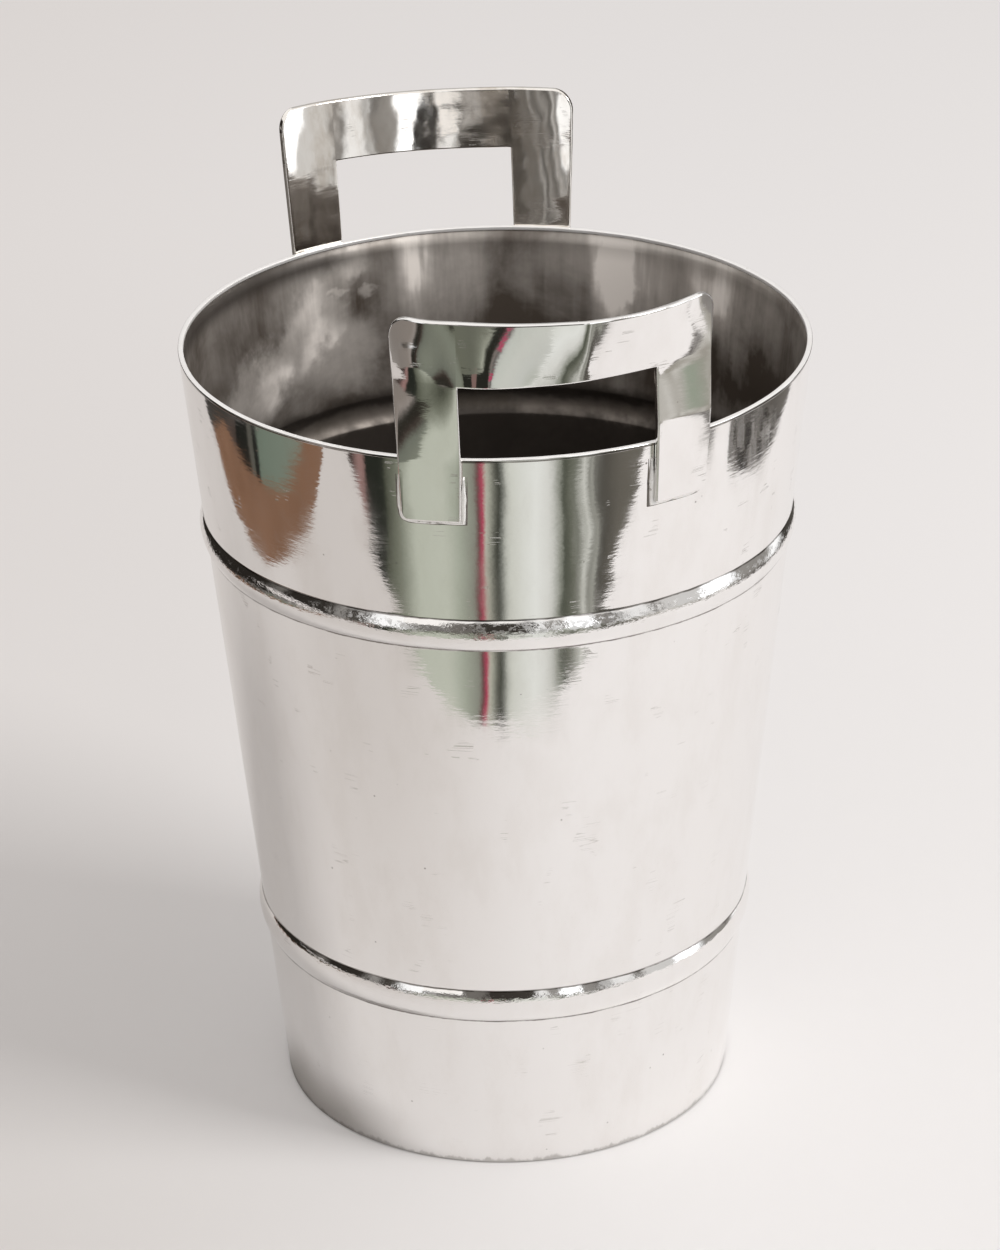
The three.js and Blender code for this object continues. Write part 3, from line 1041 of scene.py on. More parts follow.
@dataclass
class FloorPan:
    """The floor: a slightly dished pan with a turned-down flange, and the fillet round it."""

    wall: BodyWall
    top: float = 4.6 * MM
    thickness: float = 1.5 * MM
    flange_lift: float = 0.5 * MM
    flange_rounding: float = 0.2 * MM
    clearance: float = 0.3 * MM
    dish: float = 0.35 * MM
    ring_shares: tuple[float, ...] = (0.25, 0.5, 0.75, 0.93)
    seam_size: float = 2.2 * MM
    seam_shares: tuple[float, ...] = (0.25, 0.5, 0.75)
    seam_hollow_share: float = 0.28
    round_steps: int = 160
    finish: TarnishFinish = field(default_factory=lambda: TarnishFinish(
        "tarnished_silver_floor", cloud_length=34 * MM, low=(0.1, 0.085, 0.07), low_pale=(0.3, 0.26, 0.23)))
    solder: SolderFinish = field(default_factory=lambda: SolderFinish("solder_floor", roughness=0.3))

    def inside_radius(self, height: float) -> float:
        """Returns the radius that the pan may fill at a height."""
        return self.wall.taper(height) - self.wall.thickness - self.clearance

    def build_pan(self) -> bpy.types.Object:
        """Builds the pan from a spun section that starts and ends on the axis.

        Returns:
            The piece.
        """
        under = self.top - self.thickness
        outer = self.inside_radius(self.top)
        flange = self.inside_radius(self.flange_lift)
        flange_top = self.flange_lift + self.flange_rounding
        section = [(0.0, under - self.dish)]
        section += [(outer * share, under - self.dish * (1 - share**2)) for share in self.ring_shares]
        section += [
            (self.inside_radius(under) - self.thickness, under - 0.6 * self.thickness),
            (flange - self.thickness, flange_top),
            (flange - 0.5 * self.thickness, self.flange_lift),
            (flange, flange_top),
            (outer, self.top - 0.8 * self.thickness),
            (outer - 0.3 * self.thickness, self.top - 0.2 * self.thickness),
            (outer - self.thickness, self.top),
        ]
        section += [(outer * share, self.top - self.dish * (1 - share**2))
                    for share in reversed(self.ring_shares)]
        section.append((0.0, self.top - self.dish))
        bm = spin_section(section, self.round_steps, closed=False)
        return place_piece(bm, "silver_floor", [self.finish.material()], ["floor_pan"])

    def build_seam(self) -> bpy.types.Object:
        """Builds the hollow-faced fillet between the floor and the wall.

        Returns:
            The piece.
        """
        base, above = self.top, self.top + self.seam_size
        corner = (self.inside_radius(base), base)
        on_floor = (corner[0] - self.seam_size, base)
        on_wall = (self.inside_radius(above), above)
        section = [on_floor, corner, on_wall]
        for share in self.seam_shares:
            hollow = self.seam_hollow_share * self.seam_size * math.sin(math.pi * share)
            section.append((lerp(on_wall[0], on_floor[0], share) + hollow,
                            lerp(on_wall[1], on_floor[1], share) - hollow))
        bm = spin_section(section, self.round_steps, closed=True)
        return place_piece(bm, "solder_floor_seam", [self.solder.material()], ["floor_seam"])


@dataclass(frozen=True)
class Dent:
    """A soft swelling in the handle's sheet."""

    across: float
    height: float
    reach: float
    depth: float

    def rise(self, across: float, height: float) -> float:
        """Returns how far the sheet stands out at a place."""
        away = math.hypot(across - self.across, height - self.height) / self.reach
        return self.depth * math.exp(-(away**2))


@dataclass(frozen=True)
class Twist:
    """How hand bending moved a handle's band in or out, at places across it."""

    places: tuple[float, ...] = (-1.0, 1.0)
    at_top: tuple[float, ...] = (0.0, 0.0)
    at_under: tuple[float, ...] = (0.0, 0.0)
    bends: tuple[float, ...] = (0.0, 0.0)
    stretch: float = 0.0
    dents: tuple[Dent, ...] = ()

    def read(self, offsets: tuple[float, ...], across: float) -> float:
        """Reads a smooth curve through the offsets.

        Args:
            offsets: One offset for each place.
            across: Distance from the handle's middle.

        Returns:
            The offset there.
        """
        if across <= self.places[0]:
            return offsets[0]
        for index in range(len(self.places) - 1):
            if across <= self.places[index + 1]:
                break
        else:
            return offsets[-1]
        gap = self.places[index + 1] - self.places[index]
        share = (across - self.places[index]) / gap
        slopes = []
        for spot in (index, index + 1):
            low, high = max(0, spot - 1), min(len(self.places) - 1, spot + 1)
            slopes.append((offsets[high] - offsets[low]) / (self.places[high] - self.places[low]) * gap)
        rise = offsets[index + 1] - offsets[index]
        bend = share * (1 - share)
        return (offsets[index] + share * share * (3 - 2 * share) * rise
                + bend * (1 - share) * slopes[0] - bend * share * slopes[1])


@dataclass
class StrapHandle:
    """A handle cut from flat sheet, bent round the wall and leaning outwards above the rim."""

    wall: BodyWall
    label: str
    turn: float
    bow: float
    push: float
    tilt: float
    lift: float
    twist: Twist = field(default_factory=Twist)
    thickness: float = 2.2 * MM
    rise: float = 45.8 * MM
    drop: float = 20.5 * MM
    band_width: float = 19.9 * MM
    finger_gap: float = 60.4 * MM
    leg_foot_width: float = 18.1 * MM
    leg_top_width: float = 21.85 * MM
    lean: float = math.radians(6)
    rim_blend: float = 0.8 * MM
    gap_blend: float = 3 * MM
    stretch_reach: tuple[float, float] = (30 * MM, 40 * MM)
    top_corner: float = 7 * MM
    foot_corner: float = 2.6 * MM
    inner_corner: float = 0.6 * MM
    edge_rounding: float = 0.5 * MM
    corner_steps: int = 10
    edge_steps: int = 3
    rim_fold: float = 1.2
    cell: float = 1.3 * MM
    clearance: float = 0.3 * MM
    bead_middle: float = 263.75 * MM
    seat_radius: float = 102.15 * MM
    seam_top_drop: float = 5.8 * MM
    seam_radius: float = 0.9 * MM
    seam_offset: float = 0.55 * MM
    seam_lift: float = 0.25 * MM
    seam_steps: int = 8
    # A thin dark bead that runs outside the solder, round each foot.
    dark_line_radius: float = 0.26 * MM
    dark_line_offset: float = 1.6 * MM
    dark_line_lift: float = 0.06 * MM
    bead_end_points: int = 5
    bead_end_share: float = 0.3
    bead_lumps: tuple[tuple[float, float], ...] = ((1.3, 0.12), (3.1, 0.07))
    finish: SilverFinish = field(default_factory=lambda: SilverFinish(
        "polished_silver_handle", ripple_length=14 * MM, ripple_depth=0.18 * MM))

    @property
    def top(self) -> float:
        """Height of the band's top edge on the flat pattern."""
        return self.wall.height + self.rise

    @property
    def under(self) -> float:
        """Height of the band's lower edge on the flat pattern."""
        return self.top - self.band_width

    @property
    def foot(self) -> float:
        """Height of the feet's lower edge on the flat pattern."""
        return self.wall.height - self.drop

    def outer_edge(self, height: float) -> float:
        """Returns the distance from the middle to the outer edge at a height."""
        share = (height - self.foot) / (self.top - self.foot)
        return self.finger_gap / 2 + lerp(self.leg_foot_width, self.leg_top_width, share)

    def sheet_radius(self, height: float) -> float:
        """Finds the radius of the inner face.

        Args:
            height: Height above the table.

        Returns:
            The radius at that height.
        """
        if height > self.bead_middle:
            return self.seat_radius + (height - self.bead_middle) * math.tan(self.lean)
        share = (height - self.foot) / (self.bead_middle - self.foot)
        return lerp(self.wall.taper(self.foot) + self.clearance, self.seat_radius, share)

    def bent_place(self, across: float, height: float) -> tuple[float, float, float]:
        """Bends a place on the flat pattern round the wall.

        Args:
            across: Distance from the middle.
            height: Height on the flat pattern.

        Returns:
            Its height, its angle from the handle's middle, and how far it bulges outwards.
        """
        share = max(0.0, (height - self.bead_middle) / (self.top - self.bead_middle))
        climb = across**2 * math.sin(self.lean) / (2 * self.sheet_radius(height))
        level = height + across * math.tan(self.tilt) + share * (self.lift + climb)
        angle = (across + self.push * share) / self.sheet_radius(level)
        bulge = self.bow * share * (1 - (across / self.outer_edge(height)) ** 2)
        at_top = self.twist.read(self.twist.at_top, across)
        at_under = self.twist.read(self.twist.at_under, across)
        start = self.bead_middle + self.twist.read(self.twist.bends, across)
        leg = self.under - start
        above_rim = soft_floor(height - start, self.rim_blend)
        above_gap = soft_floor(height - self.under, self.gap_blend)
        bulge += sum(dent.rise(across, height) for dent in self.twist.dents)
        slope = (at_top - at_under) / self.band_width - at_under / leg
        bulge += at_under * above_rim / leg + above_gap * slope
        inside = 1 - smooth_step(*self.stretch_reach, abs(across))
        from_middle = (height - self.under - 0.5 * self.band_width) / self.band_width
        level += inside * self.twist.stretch * from_middle * share
        return level, angle, bulge

    def point(self, radius: float, angle: float, height: float) -> Vector:
        """Returns the place at a radius and an angle from the handle's middle."""
        whole = angle + self.turn
        return Vector((radius * math.sin(whole), -radius * math.cos(whole), height))

    def flat_plate(self) -> bmesh.types.BMesh:
        """Cuts the flat plate, with x across, y through the sheet and z up.

        Returns:
            A closed plate with rounded corners and edges, divided into small cells.
        """
        bm = bmesh.new()
        grid = bmesh.ops.create_grid(bm, x_segments=3, y_segments=2, size=1.0)
        rows = (self.foot, self.under, self.top)
        half_gap = self.finger_gap / 2
        for vert in grid["verts"]:
            column, row = round((vert.co.x + 1) * 1.5), round(vert.co.y + 1)
            edge = self.outer_edge(rows[row])
            vert.co = Vector(((-edge, -half_gap, half_gap, edge)[column], 0.0, rows[row]))
        window = [face for face in bm.faces
                  if abs(face.calc_center_median().x) < MM and face.calc_center_median().z < self.under]
        bmesh.ops.delete(bm, geom=window, context="FACES")
        for is_top, radius in ((True, self.top_corner), (False, self.foot_corner)):
            corners = [vert for vert in bm.verts
                       if len(vert.link_faces) == 1 and (vert.co.z > self.under + MM) == is_top
                       and abs(vert.co.x) > half_gap + MM]
            round_corners(bm, corners, radius, self.corner_steps)
        inner = [vert for vert in bm.verts
                 if vert.co.z < self.foot + TOUCH and abs(vert.co.x) < half_gap + TOUCH]
        round_corners(bm, inner, self.inner_corner, self.edge_steps)
        raised = bmesh.ops.extrude_face_region(bm, geom=bm.faces[:])
        outer = [part for part in raised["geom"] if isinstance(part, bmesh.types.BMVert)]
        bmesh.ops.translate(bm, verts=outer, vec=(0.0, self.thickness, 0.0))
        bmesh.ops.recalc_face_normals(bm, faces=bm.faces)
        rims = [edge for edge in bm.edges if edge.calc_face_angle(0.0) > self.rim_fold
                and (edge.verts[0].co - edge.verts[1].co).normalized().y**2 < 0.5]
        bmesh.ops.bevel(bm, geom=rims, offset=self.edge_rounding, offset_type="OFFSET", affect="EDGES",
                        segments=self.edge_steps, profile=0.5, material=-1, clamp_overlap=True)
        self.divide(bm)
        return bm

    def divide(self, bm: bmesh.types.BMesh) -> None:
        """Divides the plate into cells that can bend.

        Args:
            bm: The plate.
        """
        width = self.outer_edge(self.top)
        columns = int(2 * width / self.cell)
        rows = int((self.top - self.foot) / self.cell)
        cuts = [((lerp(-width, width, (step + 0.5) / columns), 0, 0), (1, 0, 0)) for step in range(columns)]
        cuts += [((0, 0, lerp(self.foot, self.top, (step + 0.5) / rows)), (0, 0, 1)) for step in range(rows)]
        for place, normal in cuts:
            bmesh.ops.bisect_plane(bm, geom=bm.verts[:] + bm.edges[:] + bm.faces[:], dist=0.5 * TOUCH,
                                   plane_co=place, plane_no=normal)

    def build_plate(self, finish: SilverFinish) -> bpy.types.Object:
        """Builds the bent plate.

        Args:
            finish: Its finish.

        Returns:
            The piece.
        """
        bm = self.flat_plate()
        for vert in bm.verts:
            across, depth, height = vert.co
            level, angle, bulge = self.bent_place(across, height)
            vert.co = self.point(self.sheet_radius(level) + bulge + depth, angle, level)
        bmesh.ops.remove_doubles(bm, verts=bm.verts, dist=MERGE)
        bmesh.ops.recalc_face_normals(bm, faces=bm.faces)
        piece = place_piece(bm, f"silver_handle_{self.label}", [finish.material()],
                            [f"handle_{self.label}"])
        piece.modifiers.new("even_faces", "WEIGHTED_NORMAL").keep_sharp = True
        return piece

    def seam_route(self, off: float) -> list[tuple[float, float]]:
        """Draws a line round the foot, from the outer side under the rim to the gap's side.

        Args:
            off: How far outside the foot it runs.

        Returns:
            Places across and heights.
        """
        steps = self.seam_steps
        start = self.wall.height - self.seam_top_drop
        corner = self.foot + self.foot_corner
        bend = self.foot_corner + off
        inner = self.finger_gap / 2 - off
        centre = self.outer_edge(self.foot) - self.foot_corner
        heights = [lerp(start, corner, step / steps) for step in range(steps)]
        angles = [math.pi / 2 * step / (steps - 2) for step in range(steps - 1)]
        route = [(self.outer_edge(height) + off, height) for height in heights]
        route += [(centre + bend * math.cos(angle), corner - bend * math.sin(angle)) for angle in angles]
        route += [(lerp(centre, inner, step / (steps - 1)), self.foot - off) for step in range(1, steps)]
        route += [(inner, lerp(self.foot - off, start, step / steps)) for step in range(1, steps + 1)]
        return route

    def build_seam(self, side: Side, materials: Sequence[bpy.types.Material]) -> bpy.types.Object:
        """Builds the bead of solder round one foot.

        Args:
            side: Which foot.
            materials: The solder and the thin dark bead along its foot.

        Returns:
            The piece.
        """
        name = side.name.lower()
        bm = bmesh.new()
        self.add_bead(bm, side, self.seam_offset, self.seam_radius, self.seam_lift)
        solder_faces = len(bm.faces)
        self.add_bead(bm, side, self.dark_line_offset, self.dark_line_radius, self.dark_line_lift)
        bmesh.ops.recalc_face_normals(bm, faces=bm.faces)
        bm.faces.ensure_lookup_table()
        for face in bm.faces[solder_faces:]:
            face.material_index = 1
        return place_piece(bm, f"solder_{self.label}_{name}", materials,
                           [f"seam_{self.label}_{name}"])

    def add_bead(self, bm: bmesh.types.BMesh, side: Side, off: float, radius: float, lift: float) -> None:
        """Adds a round bead along the foot's outline.

        Args:
            bm: Where it is added.
            side: Which foot.
            off: How far outside the foot it runs.
            radius: Its radius, less towards its ends.
            lift: How far its middle lies above the wall.
        """
        curve = bpy.data.curves.new("bead", "CURVE")
        curve.dimensions = "3D"
        curve.bevel_depth = radius
        curve.bevel_resolution = 3
        curve.use_fill_caps = True
        route = self.seam_route(off)
        spline = curve.splines.new("POLY")
        spline.points.add(len(route) - 1)
        for index, (across, height) in enumerate(route):
            level, angle, _ = self.bent_place(side.value * across, height)
            place = self.point(self.wall.plain_radius(level) + lift, angle, level)
            spline.points[index].co = (*place, 1.0)
            from_end = min(index, len(route) - 1 - index) / self.bead_end_points
            lumps = 1 + sum(size * math.sin(pace * index + phase)
                            for (pace, size), phase in zip(self.bead_lumps, (self.turn, 0.0)))
            spline.points[index].radius = min(1.0, self.bead_end_share + from_end) * lumps
        holder = bpy.data.objects.new(curve.name, curve)
        bpy.context.scene.collection.objects.link(holder)
        evaluated = holder.evaluated_get(bpy.context.evaluated_depsgraph_get())
        bm.from_mesh(evaluated.to_mesh())
        evaluated.to_mesh_clear()
        bpy.data.objects.remove(holder)
        bmesh.ops.remove_doubles(bm, verts=bm.verts, dist=MERGE)

    def build(self) -> None:
        """Builds the plate and the solder round both feet."""
        self.build_plate(replace(self.finish, name=f"{self.finish.name}_{self.label}", seed=self.turn + 0.4))
        solder = SolderFinish(f"solder_{self.label}")
        # The thin dark bead outside the solder.
        dark_line = SolderFinish(f"flux_{self.label}", bright=(0.2, 0.18, 0.16), dark=(0.05, 0.045, 0.04),
                            roughness=0.5)
        materials = [solder.material(), dark_line.material()]
        for side in Side:
            self.build_seam(side, materials)


def bearing(graph: NodeGraph, direction: Value) -> tuple[bpy.types.NodeSocket, ...]:
    """Turns a direction or a place to the viewpoint's side of the bucket.

    Args:
        graph: The graph to build in.
        direction: A vector in the frame.

    Returns:
        Sockets of its share to the right, its share to the front, its height, and its bearing from
        0 to 1, which is 0.5 straight in front and rises to the right.
    """
    right, back, height = graph.split(graph.mapping(direction, turn=(0, 0, -VIEW_AZIMUTH)))
    front = graph.math("MULTIPLY", back, -1.0)
    angle = graph.math("ARCTAN2", right, front)
    return right, front, height, graph.math("MULTIPLY_ADD", angle, 1 / FULL_TURN, 0.5)


def around(degrees: Sequence[tuple[float, Colour]]) -> list[Stop]:
    """Places colours on a ramp by their bearing.

    Args:
        degrees: Pairs of a bearing in degrees and a colour, from left to right.

    Returns:
        The ramp's stops, with 0.5 straight in front.
    """
    return [(0.5 + angle / 360, colour) for angle, colour in degrees]


def between(graph: NodeGraph, share: Value, low: float, high: float,
            blur: float = 0.0008) -> bpy.types.NodeSocket:
    """Marks a stretch of bearings.

    Args:
        graph: The graph to build in.
        share: The bearing from 0 to 1.
        low: Where the stretch starts, in degrees.
        high: Where it ends.
        blur: Softness of its ends, as a share of the full turn.

    Returns:
        A socket that is 1 inside the stretch, with soft ends.
    """
    half = (high - low) / 720
    off = graph.math("ABSOLUTE", graph.math("SUBTRACT", share, 0.5 + (low + high) / 720))
    return graph.remap(off, half - blur, half + blur, 1.0, 0.0)


@dataclass(frozen=True)
class FloorFinish:
    """A pale floor, painted paler to the right and with painted soft shades. Polished metal sees it as a
    sheet, with a darker room past its edges.
    """

    # Painted light: the floor turns paler and more neutral towards the right, where the lamp is.
    colour: Colour = (0.79, 0.768, 0.757)
    lit_right_colour: Colour = (0.815, 0.804, 0.803)
    shade: Colour = (0.635, 0.61, 0.592)
    foot_shade: Colour = (0.2, 0.18, 0.16)
    brown_dark: Colour = (0.15, 0.078, 0.045)
    brown_light: Colour = (0.27, 0.155, 0.1)
    sides: tuple[float, float] = (-400 * MM, 120 * MM)
    shade_place: Triple = (-420 * MM, -230 * MM, 0.0)
    shade_reach: tuple[float, float] = (150 * MM, 490 * MM)
    behind_front: tuple[float, float] = (-90 * MM, 70 * MM)
    behind_right: tuple[float, float] = (-140 * MM, -40 * MM)
    behind_far: tuple[float, float] = (-900 * MM, -400 * MM)
    behind_show: float = 0.22
    behind_mirrored: float = 0.5
    contact_reach: tuple[float, float] = (75 * MM, 99 * MM)
    contact_show: float = 0.7
    contact_start: tuple[float, float] = (0.21, 0.29)
    contact_end: tuple[float, float] = (0.345, 0.45)
    sheet_front: float = 308 * MM
    sheet_left: float = 415 * MM
    sheet_right: float = 487 * MM
    blur: float = 2 * MM
    ragged: float = 14 * MM
    slant: float = 0.2
    slant_start: float = -150 * MM
    slant_end: float = 100 * MM
    slant_width: float = 15 * MM
    curl_start: float = 140 * MM
    curl: float = 3.1
    notch_depth: float = 70 * MM
    notch_start: tuple[float, float] = (5 * MM, 28 * MM)
    notch_end: tuple[float, float] = (60 * MM, 95 * MM)
    brown_front: float = 245 * MM
    brown_width: float = 60 * MM
    brown_slant: float = -0.3
    right_slant: float = 0.1
    near_room: float = 530 * MM
    near_blur: float = 20 * MM

    def front_stripes(self, graph: NodeGraph, share: Value, folds: Value) -> bpy.types.NodeSocket:
        """Draws the stripes past the sheet's front edge, by bearing.

        Args:
            graph: The material's graph.
            share: The bearing from 0 to 1.
            folds: A noise that bends them.

        Returns:
            The colour's socket.
        """
        reach = graph.remap(share, 0.53, 0.58, 0.003, 0.02)
        wavy = graph.math("MULTIPLY", graph.math("SUBTRACT", folds, 0.5), reach)
        return graph.ramp(graph.math("ADD", share, wavy), around([
            (-62, (0.3, 0.28, 0.26)), (-56, (0.05, 0.035, 0.03)), (-50, (0.07, 0.05, 0.045)),
            (-48.4, (0.3, 0.18, 0.165)), (-46.4, (0.26, 0.16, 0.145)), (-45, (0.02, 0.022, 0.017)),
            (-39.6, (0.02, 0.022, 0.017)), (-38, (0.09, 0.095, 0.07)), (-34, (0.19, 0.2, 0.155)),
            (-28.3, (0.48, 0.5, 0.42)), (-18, (0.51, 0.53, 0.45)), (-13, (0.36, 0.385, 0.315)),
            (-8, (0.235, 0.24, 0.2)), (-6.8, (0.11, 0.03, 0.035)), (-6.3, (0.42, 0.05, 0.1)),
            (-4.8, (0.4, 0.07, 0.11)), (-4.2, (0.47, 0.48, 0.4)),
            (-0.8, (0.05, 0.05, 0.04)), (1.0, (0.04, 0.045, 0.035)), (2.1, (0.45, 0.46, 0.41)),
            (4, (0.62, 0.63, 0.57)), (12.5, (0.77, 0.78, 0.74)), (17.5, (0.67, 0.67, 0.63)),
            (21.5, (0.2, 0.21, 0.17)), (22.8, (0.045, 0.05, 0.035)), (24.6, (0.135, 0.14, 0.11)),
            (26.4, (0.14, 0.145, 0.115)), (30, (0.65, 0.65, 0.6)), (31.8, (0.19, 0.19, 0.165)),
            (33.6, (0.36, 0.36, 0.32)), (35.4, (0.075, 0.07, 0.06)), (43, (0.13, 0.12, 0.1)),
        ]))

    def left_place(self, graph: NodeGraph, right: Value, front: Value) -> bpy.types.NodeSocket:
        """Measures how far left a place lies, along the slanting left edge of the sheet.

        Args:
            graph: The material's graph.
            right: Distance to the right.
            front: Distance to the front.

        Returns:
            The distance's socket.
        """
        slant = graph.math("MAXIMUM", graph.math("SUBTRACT", self.slant_start, front), 0.0)
        slant = graph.math("MULTIPLY", slant, self.slant)
        near = graph.remap(front, self.slant_start, self.slant_end, self.slant_width, 0.0)
        ahead = graph.math("MAXIMUM", graph.math("SUBTRACT", front, self.curl_start), 0.0)
        curl = graph.math("MULTIPLY_ADD", graph.math("POWER", ahead, 2.0), self.curl,
                          graph.math("ADD", slant, near))
        return graph.math("SUBTRACT", graph.math("MULTIPLY", right, -1.0), curl)

    def left_edge(self, graph: NodeGraph, left: Value, front: Value) -> bpy.types.NodeSocket:
        """Marks what lies past the sheet's left edge.

        Args:
            graph: The material's graph.
            left: Distance to the left, along the slant.
            front: Distance to the front.

        Returns:
            A socket that is 1 there.
        """
        past_left = graph.remap(left, self.sheet_left - self.blur, self.sheet_left, 0.0, 1.0)
        beyond = graph.math("SUBTRACT", left, self.sheet_left)
        end = graph.math("MULTIPLY_ADD", beyond, self.brown_slant, self.brown_front)
        short_of = graph.math("SUBTRACT", front, end)
        return graph.math("MULTIPLY", past_left, graph.remap(short_of, -self.blur, self.blur, 1.0, 0.0))

    def left_side(self, graph: NodeGraph, place: Value, left: Value, front: Value) -> bpy.types.NodeSocket:
        """Draws a brown band beside the sheet and the stripes beyond it.

        Args:
            graph: The material's graph.
            place: Where the grain is read.
            left: Distance to the left, along the slant.
            front: Distance to the front.

        Returns:
            The colour's socket.
        """
        band = self.sheet_left + self.brown_width
        grain = graph.noise(graph.mapping(place, (160, 12, 1)), 1.0, 3.0)
        beyond = graph.ramp(graph.math("ADD", front, 0.5), [
            (0.1, (0.12, 0.09, 0.075)), (0.3, (0.11, 0.075, 0.06)), (0.36, (0.06, 0.045, 0.038)),
            (0.37, (0.015, 0.015, 0.013)), (0.43, (0.018, 0.018, 0.015)), (0.44, (0.1, 0.095, 0.08)),
            (0.455, (0.09, 0.09, 0.075)), (0.46, (0.018, 0.018, 0.015)), (0.475, (0.02, 0.02, 0.018)),
            (0.485, (0.15, 0.185, 0.145)), (0.66, (0.19, 0.22, 0.175)), (0.69, (0.16, 0.18, 0.15)),
            (0.7, (0.05, 0.04, 0.035)), (0.75, (0.03, 0.026, 0.022)),
        ])
        on_band = graph.remap(left, band - self.blur, band, 1.0, 0.0)
        return graph.mix(on_band, beyond, graph.mix(grain, self.brown_dark, self.brown_light))

    def right_edge(self, graph: NodeGraph, right: Value, front: Value) -> bpy.types.NodeSocket:
        """Marks what lies past the sheet's right edge, which has a notch.

        Args:
            graph: The material's graph.
            right: Distance to the right.
            front: Distance to the front.

        Returns:
            A socket that is 1 there.
        """
        inward = graph.math("MULTIPLY_ADD", graph.math("MINIMUM", front, 0.0), self.right_slant,
                            self.sheet_right)
        notch = graph.math("MULTIPLY", graph.remap(front, *self.notch_start, 0.0, self.notch_depth),
                           graph.remap(front, *self.notch_end, 1.0, 0.0))
        off_edge = graph.math("SUBTRACT", right, graph.math("ADD", notch, inward))
        return graph.remap(off_edge, -2 * self.blur, 2 * self.blur, 0.0, 1.0)

    def right_side(self, graph: NodeGraph, place: Value) -> bpy.types.NodeSocket:
        """Draws dark and pale streaks beside the sheet.

        Args:
            graph: The material's graph.
            place: Where they are read.

        Returns:
            The colour's socket.
        """
        streaks = graph.noise(graph.mapping(place, (75, 14, 1)), 1.0, 3.0, 0.6)
        return graph.ramp(streaks, [
            (0.34, (0.015, 0.013, 0.012)), (0.45, (0.045, 0.04, 0.036)), (0.5, (0.16, 0.145, 0.13)),
            (0.54, (0.46, 0.44, 0.42)), (0.58, (0.06, 0.055, 0.05)), (0.68, (0.36, 0.34, 0.32)),
        ])

    def tone(self, graph: NodeGraph, place: Value, away: Value, glossy: Value) -> bpy.types.NodeSocket:
        """Draws the floor's colour, with painted light and shade: paler to the right, a painted shadow to the
        front left, a darker patch behind on the left that the silver sees more strongly, and dark contact
        shade beside the foot on the left that only the silver sees.

        Args:
            graph: The material's graph.
            place: A place on the floor.
            away: Its distance from the bucket's middle.
            glossy: 1 where polished metal sees it.

        Returns:
            The colour's socket.
        """
        right, front, _, share = bearing(graph, place)
        tone = graph.mix(graph.remap(right, *self.sides, 0.0, 1.0), self.colour, self.lit_right_colour)
        from_shade = graph.add("VectorMath", operation="DISTANCE")
        graph.feed(from_shade.inputs[0], place)
        from_shade.inputs[1].default_value = self.shade_place
        shade = graph.remap(from_shade.outputs["Value"], *self.shade_reach, 1.0, 0.0)
        tone = graph.mix(shade, tone, self.shade)
        behind = graph.math("MULTIPLY", graph.remap(front, *self.behind_front, 1.0, 0.0),
                            graph.remap(right, *self.behind_right, 1.0, 0.0))
        behind = graph.math("MULTIPLY", behind, graph.remap(front, *self.behind_far, 0.0, 1.0))
        show = graph.math("MULTIPLY_ADD", glossy, self.behind_mirrored, self.behind_show)
        behind = graph.math("MULTIPLY", behind, show)
        tone = graph.mix(behind, tone, self.shade)
        beside_foot = graph.math("MULTIPLY", graph.remap(share, *self.contact_start, 0.0, 1.0),
                                 graph.remap(share, *self.contact_end, 1.0, 0.0))
        contact = graph.remap(away, *self.contact_reach, self.contact_show, 0.0)
        contact = graph.math("MULTIPLY", contact, graph.math("MULTIPLY", beside_foot, glossy))
        return graph.mix(contact, tone, self.foot_shade)

    def material(self) -> bpy.types.Material:
        """Builds the material.

        Returns:
            The material.
        """
        material, graph = new_material("pale_floor")
        place = graph.add("TexCoord").outputs["Object"]
        glossy = graph.add("LightPath").outputs["Is Glossy Ray"]
        right, front, _, share = bearing(graph, place)
        folds = graph.noise(place, 24.0, 3.0, 0.6)
        left = self.left_place(graph, right, front)
        beside = self.left_edge(graph, left, front)
        past_right = self.right_edge(graph, right, front)
        ahead = graph.math("MULTIPLY_ADD", graph.math("SUBTRACT", folds, 0.5), self.ragged, front)
        past_front = graph.remap(ahead, self.sheet_front - self.blur, self.sheet_front, 0.0, 1.0)
        past = graph.math("MAXIMUM", past_front, graph.math("MAXIMUM", beside, past_right))
        room = graph.mix(beside, self.front_stripes(graph, share, folds),
                         self.left_side(graph, place, left, front))
        room = graph.mix(past_right, room, self.right_side(graph, place))
        glow = graph.add("Emission")
        graph.feed(glow.inputs["Color"], room)
        length = graph.add("VectorMath", operation="LENGTH")
        graph.feed(length.inputs[0], place)
        away = length.outputs["Value"]
        far = graph.remap(away, self.near_room, self.near_room + self.near_blur, 0.0, 1.0)
        mirrored = graph.blend_shaders(far, glow.outputs[0], graph.add("BsdfTransparent").outputs[0])
        plain = graph.add("BsdfDiffuse")
        graph.feed(plain.inputs["Color"], self.tone(graph, place, away, glossy))
        surface = graph.blend_shaders(graph.math("MULTIPLY", past, glossy), plain.outputs[0], mirrored)
        output = graph.add("OutputMaterial")
        graph.feed(output.inputs["Surface"], surface)
        return material


